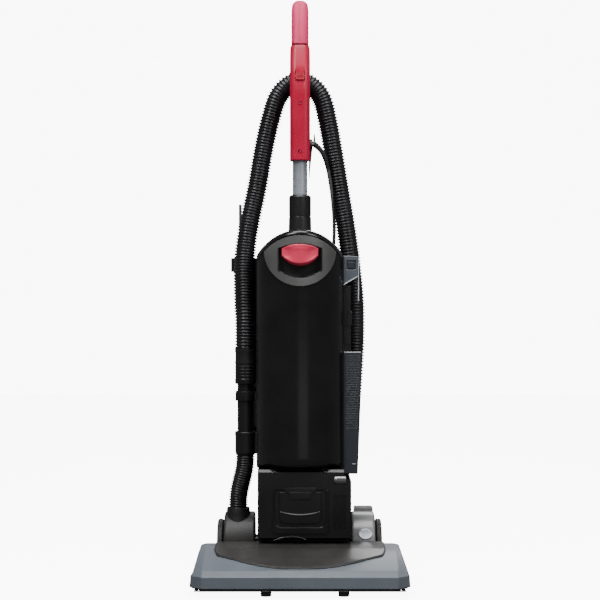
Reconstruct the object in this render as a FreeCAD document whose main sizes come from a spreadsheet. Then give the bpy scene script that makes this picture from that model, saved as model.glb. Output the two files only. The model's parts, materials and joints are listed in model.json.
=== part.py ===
import FreeCAD, Part
import math
import os

import Sketcher
from FreeCAD import Rotation, Vector

# A commercial upright vacuum cleaner. X is across it, the front faces -Y and Z is up.
# The origin is on the floor, under the middle of the foot.

doc = FreeCAD.newDocument("upright_vacuum")
dims = doc.addObject("Spreadsheet::Sheet", "dims")

DIMENSIONS = {
    "wall": 3,
    "gap": 0.4,
    "foot_half": 203,
    "foot_front": -165,
    "foot_rear": 150,
    "base_low": 14,
    "base_high": 36,
    "hood_high": 74,
    "neck_half": 142,
    "pivot_deep": 75,
    "pivot_high": 66,
    "dome_round": 60,
    "left_dome_out": -148,
    "left_dome_in": -88,
    "right_dome_in": 101,
    "right_dome_out": 146,
    "trunnion_round": 15,
    "brush_deep": -112,
    "brush_high": 28,
    "brush_half": 172,
    "brush_round": 14,
    "bristle_round": 26,
    "belt_side": 132,
    "belt_wide": 8,
    "pulley_round": 9,
    "wheel_round": 55,
    "wheel_wide": 12,
    "wheel_deep": 85,
    "axle_round": 4,
    "roller_round": 12,
    "roller_deep": -147,
    "body_half": 84,
    "body_front": 20,
    "body_back": 125,
    "body_low": 218,
    "body_shoulder": 628,
    "body_top": 677,
    "door_round": 90,
    "handle_deep": 70,
    "tube_round": 14.5,
    "collar_top": 748,
    "grip_low": 815,
    "grip_seam": 1045,
    "grip_top": 1136,
    "hose_round": 18.5,
    "wand_side": -107,
    "wand_deep": 58,
    "wand_round": 15.5,
    "cord_round": 3.5,
}
for row, (word, value) in enumerate(DIMENSIONS.items(), 1):
    dims.set(f"A{row}", word)
    dims.set(f"B{row}", str(value))
    dims.setAlias(f"B{row}", word)
doc.recompute()

nodes = []


def bound(text):
    """The same sum, with each sheet word written as a cell of the sheet."""
    text = str(text)
    for word in sorted(DIMENSIONS, key=len, reverse=True):
        text = text.replace(word, "#" + str(list(DIMENSIONS).index(word)) + "#")
    for place, word in enumerate(DIMENSIONS):
        text = text.replace("#" + str(place) + "#", "dims." + word)
    return text


def number(text):
    """The value of a sum of sheet words."""
    return float(dims.evalExpression(bound(text)))


def keep(piece, label):
    """Mark a finished sub-part, whose label names its file."""
    piece.Label = label
    nodes.append(piece)
    return piece


def block(x, y, z):
    """A box between two planes on each axis."""
    piece = doc.addObject("Part::Box", "block")
    for side, place, (low, high) in zip(("Length", "Width", "Height"), "xyz", (x, y, z)):
        piece.setExpression("Placement.Base." + place, bound(low))
        piece.setExpression(side, bound(f"({high}) - ({low})"))
    return piece


TURNS = {"x": Rotation(Vector(0, 1, 0), 90), "y": Rotation(Vector(1, 0, 0), -90), "z": Rotation()}


def rod(axis, centre, span, round_):
    """A cylinder along one axis, centred on the other two."""
    piece = doc.addObject("Part::Cylinder", "rod")
    piece.Placement.Rotation = TURNS[axis]
    places = dict(zip([letter for letter in "xyz" if letter != axis], centre))
    places[axis] = span[0]
    for letter, place in places.items():
        piece.setExpression("Placement.Base." + letter, bound(place))
    piece.setExpression("Radius", bound(round_))
    piece.setExpression("Height", bound(f"({span[1]}) - ({span[0]})"))
    return piece


def cone(centre, span, low_round, high_round):
    """An upright cone between two heights."""
    piece = doc.addObject("Part::Cone", "cone")
    for letter, place in zip("xyz", (centre[0], centre[1], span[0])):
        piece.setExpression("Placement.Base." + letter, bound(place))
    piece.setExpression("Radius1", bound(low_round))
    piece.setExpression("Radius2", bound(high_round))
    piece.setExpression("Height", bound(f"({span[1]}) - ({span[0]})"))
    return piece


def fuse(*pieces):
    """One solid from several that touch, or a group of separate ones."""
    if len(pieces) == 1:
        return pieces[0]
    joined = doc.addObject("Part::MultiFuse", "fuse")
    joined.Shapes = list(pieces)
    return joined


def cut(base, *tools):
    """The base with the tools taken away."""
    left = doc.addObject("Part::Cut", "cut")
    left.Base = base
    left.Tool = fuse(*tools)
    return left


def common(one, other):
    """What two solids share."""
    shared = doc.addObject("Part::MultiCommon", "common")
    shared.Shapes = [one, other]
    return shared


PLANES = {"XY": "XY_Plane", "XZ": "XZ_Plane", "YZ": "YZ_Plane"}


def profile(plane, loop, span):
    """A body: a sketched outline padded between two places on the plane's normal.

    A point is (across, up) or (across, up, rise): a rise bows the side that follows it outwards
    by that much, for an outline that runs anticlockwise.
    """
    body = doc.addObject("PartDesign::Body", "profile")
    sketch = body.newObject("Sketcher::SketchObject", "outline")
    sketch.AttachmentSupport = [(next(o for o in body.Origin.OriginFeatures if o.Role == PLANES[plane]), "")]
    sketch.MapMode = "FlatFace"
    normal = -1 if plane == "XZ" else 1
    start = span[1] if normal < 0 else span[0]
    sketch.setExpression("AttachmentOffset.Base.z", bound(f"{normal} * ({start})"))
    corners = [Vector(number(point[0]), number(point[1]), 0) for point in loop]
    ends = []
    for place, point in enumerate(loop):
        here = corners[place]
        there = corners[(place + 1) % len(loop)]
        if len(point) == 3:
            along = (there - here).normalize()
            middle = (here + there) * 0.5 + Vector(along.y, -along.x, 0) * number(point[2])
            sketch.addGeometry(Part.Arc(here, middle, there), False)
        else:
            sketch.addGeometry(Part.LineSegment(here, there), False)
        forward = (sketch.Geometry[place].StartPoint - here).Length < 1e-6
        ends.append((1, 2) if forward else (2, 1))
    for place, point in enumerate(loop):
        after = (place + 1) % len(loop)
        sketch.addConstraint(Sketcher.Constraint("Coincident", place, ends[place][1], after, ends[after][0]))
        for way, value, text in (("DistanceX", corners[place].x, point[0]),
                                 ("DistanceY", corners[place].y, point[1])):
            spot = sketch.addConstraint(Sketcher.Constraint(way, -1, 1, place, ends[place][0], value))
            sketch.setExpression(f"Constraints[{spot}]", bound(text))
        if len(point) == 3:
            spot = sketch.addConstraint(Sketcher.Constraint("Radius", place, sketch.Geometry[place].Radius))
    pad = body.newObject("PartDesign::Pad", "pad")
    pad.Profile = sketch
    pad.setExpression("Length", bound(f"({span[1]}) - ({span[0]})"))
    return body


def tray_loop(inset):
    half = f"foot_half - 5 - {inset}"
    return [
        (f"-({half})", f"foot_front + 2 + {inset}"), (half, f"foot_front + 2 + {inset}"), (half, f"5 - {inset}"),
        (f"neck_half - {inset}", f"5 - {inset}"), (f"neck_half - {inset}", f"foot_rear - {inset}"),
        (f"-(neck_half - {inset})", f"foot_rear - {inset}"), (f"-(neck_half - {inset})", f"5 - {inset}"),
        (f"-({half})", f"5 - {inset}")]


brush_slot = block(("-brush_half - 3", "brush_half + 3"), ("brush_deep - 30", "brush_deep + 37"), (5, 20))
roller_slots = [block((low, high), ("roller_deep - 13.5", "roller_deep + 13.5"), (5, "base_low + 14"))
                for low, high in ((-74, -50), (68, 92))]
tray = cut(profile("XY", tray_loop("0"), ("base_low", "base_high")),
           profile("XY", tray_loop("wall"), ("base_low + wall", "base_high + 1")))
keep(cut(tray, brush_slot, *roller_slots), "nozzle_base")

HOOD_SIDE = [("foot_front", "base_high"), (10, "base_high"), (10, "hood_high"), (-60, "hood_high - 3", 1.5),
             ("foot_front + 8", "base_high + 17", 2)]
HOOD_INSIDE = [("foot_front + wall", "base_high - 1"), (11, "base_high - 1"), (11, "hood_high - wall"),
               (-60, "hood_high - 3 - wall"), ("foot_front + 9 + wall", "base_high + 17 - wall")]
hood = cut(profile("YZ", HOOD_SIDE, ("-foot_half", "foot_half")),
           profile("YZ", HOOD_INSIDE, ("wall - foot_half", "foot_half - wall")))
keep(hood, "hood")

insert_plan = profile("XY", [(-16, -150), (16, -150), (60, -142, 4), (158, -108, 10), (158, -2), (-158, -2),
                             (-158, -108, 10), (-60, -142, 4)], ("base_high", "hood_high + 10"))
insert_slab = profile("YZ", [(-157, 50), (-60, "hood_high - 4"), (9, "hood_high - 1"), (9, "hood_high + 2.5"),
                             (-60, "hood_high - 0.5", 1.5), (-157, "base_high + 19.5", 2)], (-170, 170))
hump = profile("YZ", HOOD_SIDE, ("-foot_half", "foot_half"))
keep(cut(common(insert_plan, insert_slab), hump), "hood_insert")

keep(cut(block(("10 - foot_half", "foot_half - 10"), ("foot_front", -10), (12.5, "base_low")),
         block(("18 - foot_half", "foot_half - 18"), ("foot_front + 5", -9), (9, 15))), "bumper")
keep(cut(block(("18.5 - foot_half", "foot_half - 18.5"), ("foot_front + 6.5", -10), (11, "base_low")),
         brush_slot, *roller_slots), "sole_plate")


def dome(inner, outer, shut):
    """A drum over the pivot, open towards the body and underneath, with a slot for the belt."""
    low, high = sorted((inner, outer), key=number)
    inside = (f"{low} + 4", high) if shut == "low" else (low, f"{high} - 4")
    centre = ("pivot_deep", "pivot_high")
    return cut(rod("x", centre, (low, high), "dome_round"),
               rod("x", centre, inside, "dome_round - 4"),
               block((f"{low} - 1", f"{high} + 1"), (-10, 160), (0, "base_high + 0.2")),
               block((f"{low} + 4", f"{high} - 5"), (-5, 40), (30, 70)), rod("z", (-121, 62), (90, 140), 20))


keep(dome("left_dome_in", "left_dome_out", "low"), "left_dome")
keep(dome("right_dome_in", "right_dome_out", "high"), "right_dome")


def bearing_plate(low, high):
    """An upright plate on the tray that carries one side of the pivot."""
    return cut(block((low, high), ("pivot_deep - 22", "pivot_deep + 22"), ("base_low + wall", "pivot_high + 24")),
               rod("x", ("pivot_deep", "pivot_high"), (f"{low} - 1", f"{high} + 1"), "trunnion_round + 0.05"))


keep(fuse(bearing_plate("left_dome_in - 9", "left_dome_in - 3"),
          bearing_plate("right_dome_in + 1", "right_dome_in + 6")), "pivot_bearings")

motor_centre = ("pivot_deep", "pivot_high")
keep(fuse(cut(rod("x", motor_centre, (109, 124), 34), rod("x", motor_centre, (112, 121), 28),
              rod("x", motor_centre, (100, 130), "axle_round + 0.05")),
          block((110, 123), ("pivot_deep - 20", "pivot_deep + 20"), ("base_low + wall", 40))), "brush_motor")
keep(fuse(rod("x", motor_centre, (108.5, "belt_side + 5"), "axle_round"), rod("x", motor_centre, (112.5, 120.5), 25),
          rod("x", motor_centre, ("belt_side - 5", "belt_side + 5"), "pulley_round")), "motor_armature")

brush_centre = ("brush_deep", "brush_high")
keep(fuse(rod("x", brush_centre, ("-brush_half", "brush_half"), "brush_round"),
          rod("x", brush_centre, ("-brush_half - 14", "brush_half + 14"), 5),
          rod("x", brush_centre, ("belt_side - 6", "belt_side + 6"), "brush_round + 2")), "brush_core")


def bristle_rows(low, high):
    """Four straight rows of tufts along one stretch of the roll."""
    rows = []
    for turn in range(4):
        row = block((low, high), (0, 4), (0, "bristle_round - brush_round + 0.5"))
        turned = Rotation(Vector(1, 0, 0), 45 + 90 * turn)
        rim = turned.multVec(Vector(0, -2, number("brush_round - 0.5")))
        row.Placement.Rotation = turned
        row.setExpression("Placement.Base.y", bound(f"brush_deep + {rim.y}"))
        row.setExpression("Placement.Base.z", bound(f"brush_high + {rim.z}"))
        rows.append(row)
    return rows


bristles = fuse(*bristle_rows("4 - brush_half", "belt_side - 12"),
                *bristle_rows("belt_side + 12", "brush_half - 4"))
keep(cut(bristles, rod("x", brush_centre, ("-brush_half", "brush_half"), "brush_round")), "bristles")
brush_blocks = [block((low, f"{low} + 12"), ("brush_deep - 14", "brush_deep + 14"),
                      ("base_low + wall", "brush_high + 14")) for low in ("-brush_half - 16", "brush_half + 4")]
keep(cut(fuse(*brush_blocks), rod("x", brush_centre, (-200, 200), 5.05)), "brush_bearings")


def belt_shape(rise):
    """The flat belt's outer or inner outline: two arcs joined by the straight runs."""
    big = Vector(number("brush_deep"), number("brush_high"), 0)
    small = Vector(*(number(word) for word in motor_centre), 0)
    big_round = number("brush_round + 2.3") + rise
    small_round = number("pulley_round + 0.3") + rise
    along = small - big
    lean = math.acos((big_round - small_round) / along.Length)
    heading = math.atan2(along.y, along.x)

    def rim(centre, round_, angle):
        return Vector(0, centre.x + round_ * math.cos(angle), centre.y + round_ * math.sin(angle))

    upper, lower = heading + lean, heading - lean
    edges = [Part.LineSegment(rim(big, big_round, upper), rim(small, small_round, upper)).toShape(),
             Part.Arc(rim(small, small_round, upper), rim(small, small_round, heading),
                      rim(small, small_round, lower)).toShape(),
             Part.LineSegment(rim(small, small_round, lower), rim(big, big_round, lower)).toShape(),
             Part.Arc(rim(big, big_round, lower), rim(big, big_round, heading + math.pi),
                      rim(big, big_round, upper)).toShape()]
    loop = Part.Face(Part.Wire(edges)).extrude(Vector(number("belt_wide"), 0, 0))
    loop.translate(Vector(number("belt_side - belt_wide / 2"), 0, 0))
    return loop


belt = doc.addObject("Part::Feature", "belt")
belt.Shape = belt_shape(2.5).cut(belt_shape(0))
keep(belt, "drive_belt")

for side, low in (("left", -72), ("right", 70)):
    roller_centre = ("roller_deep", "roller_round")
    keep(cut(rod("x", roller_centre, (low, f"{low} + 20"), "roller_round"),
             rod("x", roller_centre, (f"{low} - 1", f"{low} + 21"), 2.55)), "front_roller_" + side)
roller_axles = [rod("x", ("roller_deep", "roller_round"), (low, f"{low} + 26"), 2.5) for low in (-75, 67)]
for side, low in (("left", -162), ("right", 148)):
    span = (low, f"{low} + wheel_wide")
    wheel_centre = ("wheel_deep", "wheel_round")
    keep(cut(rod("x", wheel_centre, span, "wheel_round"),
             rod("x", wheel_centre, (f"{low} - 1", f"{low} + 13"), "wheel_round - 9")), side + "_rear_tyre")
    keep(cut(rod("x", wheel_centre, span, "wheel_round - 9"),
             rod("x", wheel_centre, (f"{low} - 1", f"{low} + 13"), "axle_round + 0.05")), side + "_rear_hub")
rear_axles = [rod("x", ("wheel_deep", "wheel_round"), span, "axle_round")
              for span in ((-166, -143.5), (140, 164))]
keep(fuse(*roller_axles, *rear_axles), "wheel_axles")

socket_centre = (-121, 62)
keep(cut(fuse(rod("z", socket_centre, (66, 136), 20), rod("z", socket_centre, (126.5, 136), 22.5)),
         rod("z", socket_centre, (65, 137), 16)), "hose_socket")
keep(cut(block((-142, -100), (-66, 84), (38, 66)), block((-139, -103), (-67, 81), (41, 63)),
         rod("z", socket_centre, (50, 70), 16)), "suction_duct")

pedal_line = (145.5, 108)
keep(fuse(block((118, 136), (141, 150), ("base_high - 10", 113)), block((118, 136), (149, 163), (80, 84)),
          rod("x", pedal_line, (109, 145), 2.5)), "pedal_bracket")
keep(cut(fuse(block((108, 146), (128, 164), (117, 125)), block((110, 117), (140, 151), (101, 118)),
              block((137, 144), (140, 151), (101, 118))), rod("x", pedal_line, (100, 150), 2.55)), "release_pedal")
keep(cut(rod("z", (127, 158), (84, 117), 5), rod("z", (127, 158), (83, 118), 3)), "pedal_spring")


# The upright: a shell with a bag door in front, over a motor housing that turns on the pivot.

def arch_loop(inset, low):
    """The body's front outline: upright sides under a shallow arch."""
    half = f"body_half - {inset}"
    return [(f"-({half})", low), (half, low), (half, f"body_shoulder - {inset}", f"body_top - body_shoulder"),
            (f"-({half})", f"body_shoulder - {inset}")]


def shell_solid(inset, front):
    """The body's solid: the arched outline with its two rear corners rounded."""
    half, back = f"body_half - {inset}", f"body_back - {inset}"
    plan = [(f"-({half})", front), (half, front), (half, f"{back} - 32", 9.37), (f"{half} - 32", back),
            (f"32 - ({half})", back, 9.37), (f"-({half})", f"{back} - 32")]
    return common(profile("XZ", arch_loop(inset, f"body_low + {inset}"), (front, back)),
                  profile("XY", plan, (200, 700)))


side_ribs = [block(("body_half - 1", 99), (28, 80), (442, 571)), block((-101, -76), (112, 119), (240, 623))]
shell = cut(fuse(shell_solid("0", "body_front"), *side_ribs), shell_solid("wall", "body_front - 1"),
            rod("z", (0, "handle_deep"), (660, 680), "tube_round"), rod("x", (80, 600), (70, 90), 17))
keep(shell, "rear_shell")
keep(cut(profile("XZ", arch_loop("0.5", "body_low"), ("body_front - 2", "body_front - gap / 2")),
         profile("XZ", arch_loop("5", "body_low + 5"), ("body_front - 5", "body_front + 1"))), "door_gasket")

DOOR_BACK = "body_front - 2.5"


def door_bulge(inset):
    """The bowed solid of the door, smaller by an inset."""
    return common(profile("XZ", arch_loop(f"1 + {inset}", f"body_low + 2 + {inset}"), (-60, DOOR_BACK)),
                  rod("z", (0, 52), (200, 700), f"door_round - {inset}"))


pocket_hole = profile("XZ", [(-41, 594, 10), (41, 594), (41, 645, 10), (-41, 645)], (-60, 0))
door_ears = [block((low, f"{low} + 9"), (-17, -7), ("body_low - 12", "body_low + 4")) for low in (-52, 43)]
hinge_line = (-12, "body_low - 7")
pocket = cut(profile("XZ", [(-43, 592, 10), (43, 592), (43, 647, 10), (-43, 647)], (-38, -12)),
             profile("XZ", [(-38, 597, 9), (38, 597), (38, 643, 9), (-38, 643)], (-39, -14)))
door = cut(fuse(cut(door_bulge("0"), door_bulge("wall"), block((-74, 74), (10, 30), ("body_low + 12", 610)),
                    pocket_hole), common(pocket, door_bulge("0")), *door_ears),
           rod("x", hinge_line, (-60, 60), 2.55))
keep(door, "bag_door")
keep(rod("x", hinge_line, (-56, 56), 2.5), "door_hinge_pin")

eye = profile("XZ", [(-70, 627, 56), (70, 627, 38)], (-60, 0))
bezel_band = cut(rod("z", (0, 52), (560, 670), "door_round + 2.5"), rod("z", (0, 52), (559, 671), "door_round + 0.05"))
keep(cut(common(eye, bezel_band), profile("XZ", [(-40, 595, 10), (40, 595), (40, 644, 8), (-40, 644)], (-60, 0))),
     "latch_bezel")
keep(common(profile("XZ", [(-36, 615, 5), (36, 615), (36, 641, 9), (-36, 641)], (-60, -15)),
            rod("z", (0, 52), (590, 670), "door_round + 4")), "door_latch")

housing_front = profile("XZ", [(-81, 88), (98, 88), (98, 196), (84, 203), (84, "body_low"), (-81, "body_low")],
                        (-22, "body_back - 2"))
hub = rod("x", ("pivot_deep", "pivot_high"), (-81, 98), 45)
housing_inside = block((-78, 95), (-19, "body_back - wall"), (91, 202))
hub_inside = rod("x", ("pivot_deep", "pivot_high"), (-78, 95), 42)
door_room = [block((low, f"{low} + 11"), span, (foot, "body_low + 1")) for low in (-53, 42)
             for span, foot in (((-19.5, -4), "body_low - 15"), ((-23, -19), "body_low - 8.5"))]
door_swing = profile("YZ", [(-23, "body_low - 4.6"), (-22, "body_low - 4.6"), (-16, "body_low + 0.5"),
                            (-23, "body_low + 0.5")], (-90, 90))
trunnions = [rod("x", motor_centre, span, "trunnion_round")
             for span in (("left_dome_in - 10", -80), (97, "right_dome_in + 7"))]
keep(cut(fuse(cut(fuse(housing_front, hub), housing_inside, hub_inside), *trunnions), *door_room, door_swing,
         rod("x", hinge_line, (-56.5, 56.5), 2.5), rod("x", motor_centre, (-110, 120), 11)), "motor_housing")
keep(block((-52, 54), (-26, -22), (96, 174)), "front_cover")

motor_place = (8, 52)
keep(cut(rod("z", motor_place, (106, 162), 46), rod("z", motor_place, (112, 156), 38),
         rod("z", motor_place, (105, 170), "axle_round + 0.05")), "suction_motor")
keep(fuse(rod("z", motor_place, (107, 190), "axle_round"), rod("z", motor_place, (116, 152), 34),
          rod("z", motor_place, (168, 186), 44)), "suction_fan")

keep(block((-62, 62), (-8, 108), (242, 560)), "dust_bag")
keep(cut(block((-30, 30), (40, 108), (560, 566)), rod("z", (0, 80), (559, 567), 18)), "bag_collar")
keep(cut(fuse(rod("z", (0, 80), (566, 618), 18), rod("x", (80, 600), (0, 78), 17)),
         rod("z", (0, 80), (565, 614), 15), rod("x", (80, 600), (0, 79), 14)), "inlet_pipe")

keep(profile("XZ", [("body_half", 572), (113, 590), (113, 626), ("body_half", 628)], (24, 88)), "side_panel")
COLUMN = [("body_half", 205), (112, 205), (121, 436, 2), (117, 441), ("body_half", 441)]
column_inside = profile("XZ", [("body_half - 1", 208), (109, 208), (117, 436), ("body_half - 1", 436)], (27, 83))
keep(cut(profile("XZ", COLUMN, (24, 86)), column_inside), "filter_cover")
keep(profile("XZ", [("body_half + 1", 212), (107, 212), (115, 432), ("body_half + 1", 432)], (30, 80)),
     "exhaust_filter")

keep(cut(rod("z", (0, "handle_deep"), (672, 1000), "tube_round"), rod("z", (0, "handle_deep"), (671, 1001), 12.5)),
     "handle_tube")
keep(cut(fuse(rod("z", (0, "handle_deep"), (672, "collar_top - 6"), 22.5),
              cone((0, "handle_deep"), ("collar_top - 6", "collar_top"), 22.5, 18)),
         rod("z", (0, "handle_deep"), (671, "collar_top + 1"), "tube_round + 0.02"),
         shell_solid("0", "body_front")), "handle_collar")

GRIP_SIDE = [(48, "grip_low"), (89, "grip_low"), (89, 1003), (112, "grip_seam"), (70, "grip_seam"), (50, 985, 3)]
GRIP_HEAD = [(70, "grip_seam"), (112, "grip_seam"), (128, 1090, 3), (122, "grip_top", 6), (98, "grip_top - 8"),
             (82, 1085, 3)]
switch_room = block((-9, 9), (40, 62), (968, 991))
cord_clip = [block((19, 24), (62, 80), (836, 858)), block((23, 30), (62, 66), (846, 850)),
             block((27, 30), (62, 66), (850, 868))]
keep(cut(fuse(profile("YZ", GRIP_SIDE, (-19.5, 19.5)), *cord_clip),
         rod("z", (0, "handle_deep"), (800, 1001), "tube_round + 0.02"), switch_room,
         rod("x", (51, 979.5), (-13, 13), 2.05)), "grip_lower")
keep(profile("YZ", GRIP_HEAD, (-16.5, 16.5)), "grip_upper")
keep(fuse(block((-8.5, 8.5), (46, 54.5), (972, 987)), rod("x", (51, 979.5), (-12, 12), 2)), "power_switch")
keep(fuse(rod("y", (0, 926), (46, 52), 3), rod("y", (0, 832), (46, 52), 3)), "grip_screws")

keep(cut(fuse(block((-16, 16), (90.3, 131), (935, 953)), block((-16, 16), (128, 132), (935, 975))),
         rod("x", (109, 973), (-17, 17), "hose_round + 0.3")), "hose_hook")

wand_centre = ("wand_side", "wand_deep")
keep(cut(fuse(rod("z", wand_centre, (240, 285), 20), block((-100, "-body_half"), (50, 66), (240, 285)),
              rod("z", wand_centre, (345, 364), 19.5), block((-100, "-body_half"), (50, 66), (345, 364))),
         rod("z", wand_centre, (246, 400), "wand_round + 0.3"), rod("z", wand_centre, (239, 250), 13)), "wand_holder")
keep(cut(rod("z", ("wand_side", "wand_deep"), (247, 400), "wand_round"),
         rod("z", ("wand_side", "wand_deep"), (246, 401), 13.5)), "wand_tube")
keep(cut(rod("z", ("wand_side", "wand_deep"), (378, 449), 20.5),
         rod("z", ("wand_side", "wand_deep"), (377, 400), "wand_round + 0.02"),
         rod("z", ("wand_side", "wand_deep"), (400, 450), 13.5)), "hose_cuff")
inlet_centre = (95, 133)
inlet = cut(fuse(rod("z", inlet_centre, ("body_low + 1", 262), 22), block((60, 92), (100, 130), ("body_low + 1", 250))),
            rod("z", inlet_centre, ("body_low + 6", 263), "hose_round + 0.2"))
keep(cut(inlet, shell_solid("0", "body_front")), "hose_inlet")

for label, high in (("upper_cord_hook", 560), ("lower_cord_hook", 300)):
    turned_up = 1 if high > 400 else -1
    tip = sorted((high, high + turned_up * 34))
    keep(fuse(rod("y", (0, high), ("body_back + 4", 165), 4), block((-12, 12), (159, 165), tip),
              rod("y", (0, high), ("body_back + 0.4", "body_back + 5"), 14)), label)


# The hoses and the power cord: straight runs joined by tangent arcs.

def round_path(points):
    """A wire through a route, with each corner rounded as far as its two runs allow."""
    points = [Vector(*point) for point in points]
    edges = []
    last = points[0]
    radii = []
    for before, corner, after in zip(points, points[1:], points[2:]):
        back = (before - corner)
        ahead = (after - corner)
        setback = 0.45 * min(back.Length, ahead.Length)
        turn = math.pi - back.getAngle(ahead)
        radii.append(setback / math.tan(turn / 2))
        back.normalize()
        ahead.normalize()
        enter = corner + back * setback
        leave = corner + ahead * setback
        bisector = (back + ahead).normalize()
        depth = radii[-1] / math.cos(turn / 2) - radii[-1]
        edges.append(Part.LineSegment(last, enter).toShape())
        edges.append(Part.Arc(enter, corner + bisector * depth, leave).toShape())
        last = leave
    edges.append(Part.LineSegment(last, points[-1]).toShape())
    return Part.Wire(edges), radii


def flexible(label, points, round_):
    """A hose or cord as a plain tube along its route."""
    path, radii = round_path(points)
    start = Vector(*points[0])
    section = Part.Wire(Part.Circle(start, Vector(*points[1]) - start, round_).toShape())
    piece = doc.addObject("Part::Feature", label)
    piece.Shape = path.makePipeShell([section], True, True)
    expected = math.pi * round_ ** 2 * path.Length
    print(f"{label}: length {path.Length:.0f}, volume {piece.Shape.Volume / expected:.4f} of expected,",
          f"least radius {min(radii):.0f}, radii {[round(value) for value in radii]}")
    return keep(piece, label)


HOSE_ROUTE = [(-107, 58, 449), (-107, 58, 496), (-109, 74, 556), (-111, 92, 625), (-106, 102, 695),
              (-96, 108, 765), (-84, 110, 835), (-69, 110, 900), (-43, 109.5, 957), (0, 109, 984),
              (44, 109.5, 955), (65, 110, 897), (78, 111, 828), (89, 112, 755), (97, 112, 680), (103, 112, 605),
              (110, 112, 530), (109, 113, 450), (104, 118, 375), (95, 133, 300), (95, 133, 224)]
flexible("hose_loop", HOSE_ROUTE, number("hose_round"))
LOWER_HOSE_ROUTE = [(-107, 58, 240), (-107, 58, 220), (-111.5, 59, 199), (-117, 61, 178), (-121, 62, 156),
                    (-121, 62, 136)]
flexible("lower_hose", LOWER_HOSE_ROUTE, 17)

CORD_ROUTE = [(24, 71, 851), (37, 73, 843), (48, 78, 826), (55, 86, 802), (61, 95, 770), (66, 106, 730),
              (69, 120, 685), (67, 132, 640), (58, 141, 602), (44, 146, 575), (28, 148, 556)]
flexible("power_cord", CORD_ROUTE, number("cord_round"))
keep(cut(block((-26, 26), ("body_back + 7", 158), (285, 578)), block((-13, 13), (130, 160), (296, 565))),
     "cord_hank")
keep(fuse(block((-50, -28), (132, 150), (400, 432)), block((-46, -42), (139, 143), (432, 450)),
          block((-36, -32), (139, 143), (432, 450))), "power_plug")

doc.recompute()

# Every object has to be sound before anything is written.
for thing in doc.Objects:
    if "Invalid" in thing.State or "Error" in thing.State:
        raise RuntimeError(f"{thing.Name} {thing.Label} failed: {thing.State}")
for node in nodes:
    if node.Shape.isNull() or not node.Shape.isValid() or not node.Shape.Solids:
        raise RuntimeError(f"{node.Label} has no sound solid")
os.makedirs("parts", exist_ok=True)
for node in nodes:
    node.Shape.exportStep(f"parts/{node.Label}.step")
whole = Part.makeCompound([node.Shape for node in nodes if node.Label not in ("power_cord", "cord_hank")])
print(len(nodes), "nodes,", whole.BoundBox)
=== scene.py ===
import json
import math
import random

import bmesh
import bpy
from mathutils import Matrix, Vector


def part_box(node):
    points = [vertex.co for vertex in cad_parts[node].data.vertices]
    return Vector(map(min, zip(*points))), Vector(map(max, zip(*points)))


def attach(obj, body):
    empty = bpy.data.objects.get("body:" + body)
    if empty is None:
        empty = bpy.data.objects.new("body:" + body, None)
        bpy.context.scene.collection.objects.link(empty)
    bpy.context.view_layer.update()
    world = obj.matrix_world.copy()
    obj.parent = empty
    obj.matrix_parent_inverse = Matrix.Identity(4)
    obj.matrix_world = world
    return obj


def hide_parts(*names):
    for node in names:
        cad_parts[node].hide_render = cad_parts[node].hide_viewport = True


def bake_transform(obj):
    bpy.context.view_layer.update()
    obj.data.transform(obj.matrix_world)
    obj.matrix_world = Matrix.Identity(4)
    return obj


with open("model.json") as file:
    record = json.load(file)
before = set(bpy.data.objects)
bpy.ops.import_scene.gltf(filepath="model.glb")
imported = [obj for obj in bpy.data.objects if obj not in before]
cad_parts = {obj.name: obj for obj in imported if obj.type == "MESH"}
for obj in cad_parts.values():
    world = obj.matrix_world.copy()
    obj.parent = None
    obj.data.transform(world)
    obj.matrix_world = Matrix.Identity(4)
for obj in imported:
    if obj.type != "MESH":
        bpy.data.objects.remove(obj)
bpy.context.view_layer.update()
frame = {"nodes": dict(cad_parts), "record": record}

# The studio: a lit paper floor, a lit backdrop far behind it, five area lamps and a level camera
# at the middle of the machine's height. None of it belongs to the object.
scene = bpy.context.scene
BODY_PLANE = 0.045
VIEW_DISTANCE = 3.0
EYE_HEIGHT = 0.542
VIEW_WIDTH = 1.170

camera_data = bpy.data.cameras.new("studio_camera")
camera_data.angle = 2 * math.atan(VIEW_WIDTH / 2 / VIEW_DISTANCE)
camera = bpy.data.objects.new("studio_camera", camera_data)
camera.location = (0.0, BODY_PLANE - VIEW_DISTANCE, EYE_HEIGHT)
camera.rotation_euler = (math.pi / 2, 0.0, 0.0)
scene.collection.objects.link(camera)
scene.camera = camera


def paper_finish():
    """Matt white studio paper with a trace of fibre."""
    material = bpy.data.materials.new("studio_paper")
    material.use_nodes = True
    nodes = material.node_tree.nodes
    shader = nodes["Principled BSDF"]
    shader.inputs["Roughness"].default_value = 0.9
    fibre = nodes.new("ShaderNodeTexNoise")
    fibre.inputs["Scale"].default_value = 30.0
    tint = nodes.new("ShaderNodeValToRGB")
    tint.color_ramp.elements[0].color = (0.90, 0.90, 0.90, 1.0)
    tint.color_ramp.elements[1].color = (0.94, 0.94, 0.94, 1.0)
    material.node_tree.links.new(fibre.outputs["Fac"], tint.inputs["Fac"])
    material.node_tree.links.new(tint.outputs["Color"], shader.inputs["Base Color"])
    material.node_tree.links.new(tint.outputs["Color"], shader.inputs["Emission Color"])
    shader.inputs["Emission Strength"].default_value = 9.2
    return material


def studio_sweep():
    """The paper floor."""
    bm = bmesh.new()
    reach = 6.0
    corners = [bm.verts.new((x, y, 0.0)) for x, y in ((-reach, -reach), (reach, -reach), (reach, reach),
                                                      (-reach, reach))]
    bm.faces.new(corners)
    mesh = bpy.data.meshes.new("studio_floor")
    bm.to_mesh(mesh)
    bm.free()
    floor = bpy.data.objects.new("studio_floor", mesh)
    floor.data.materials.append(paper_finish())
    floor.visible_glossy = False
    floor.visible_diffuse = False
    scene.collection.objects.link(floor)


studio_sweep()

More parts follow.
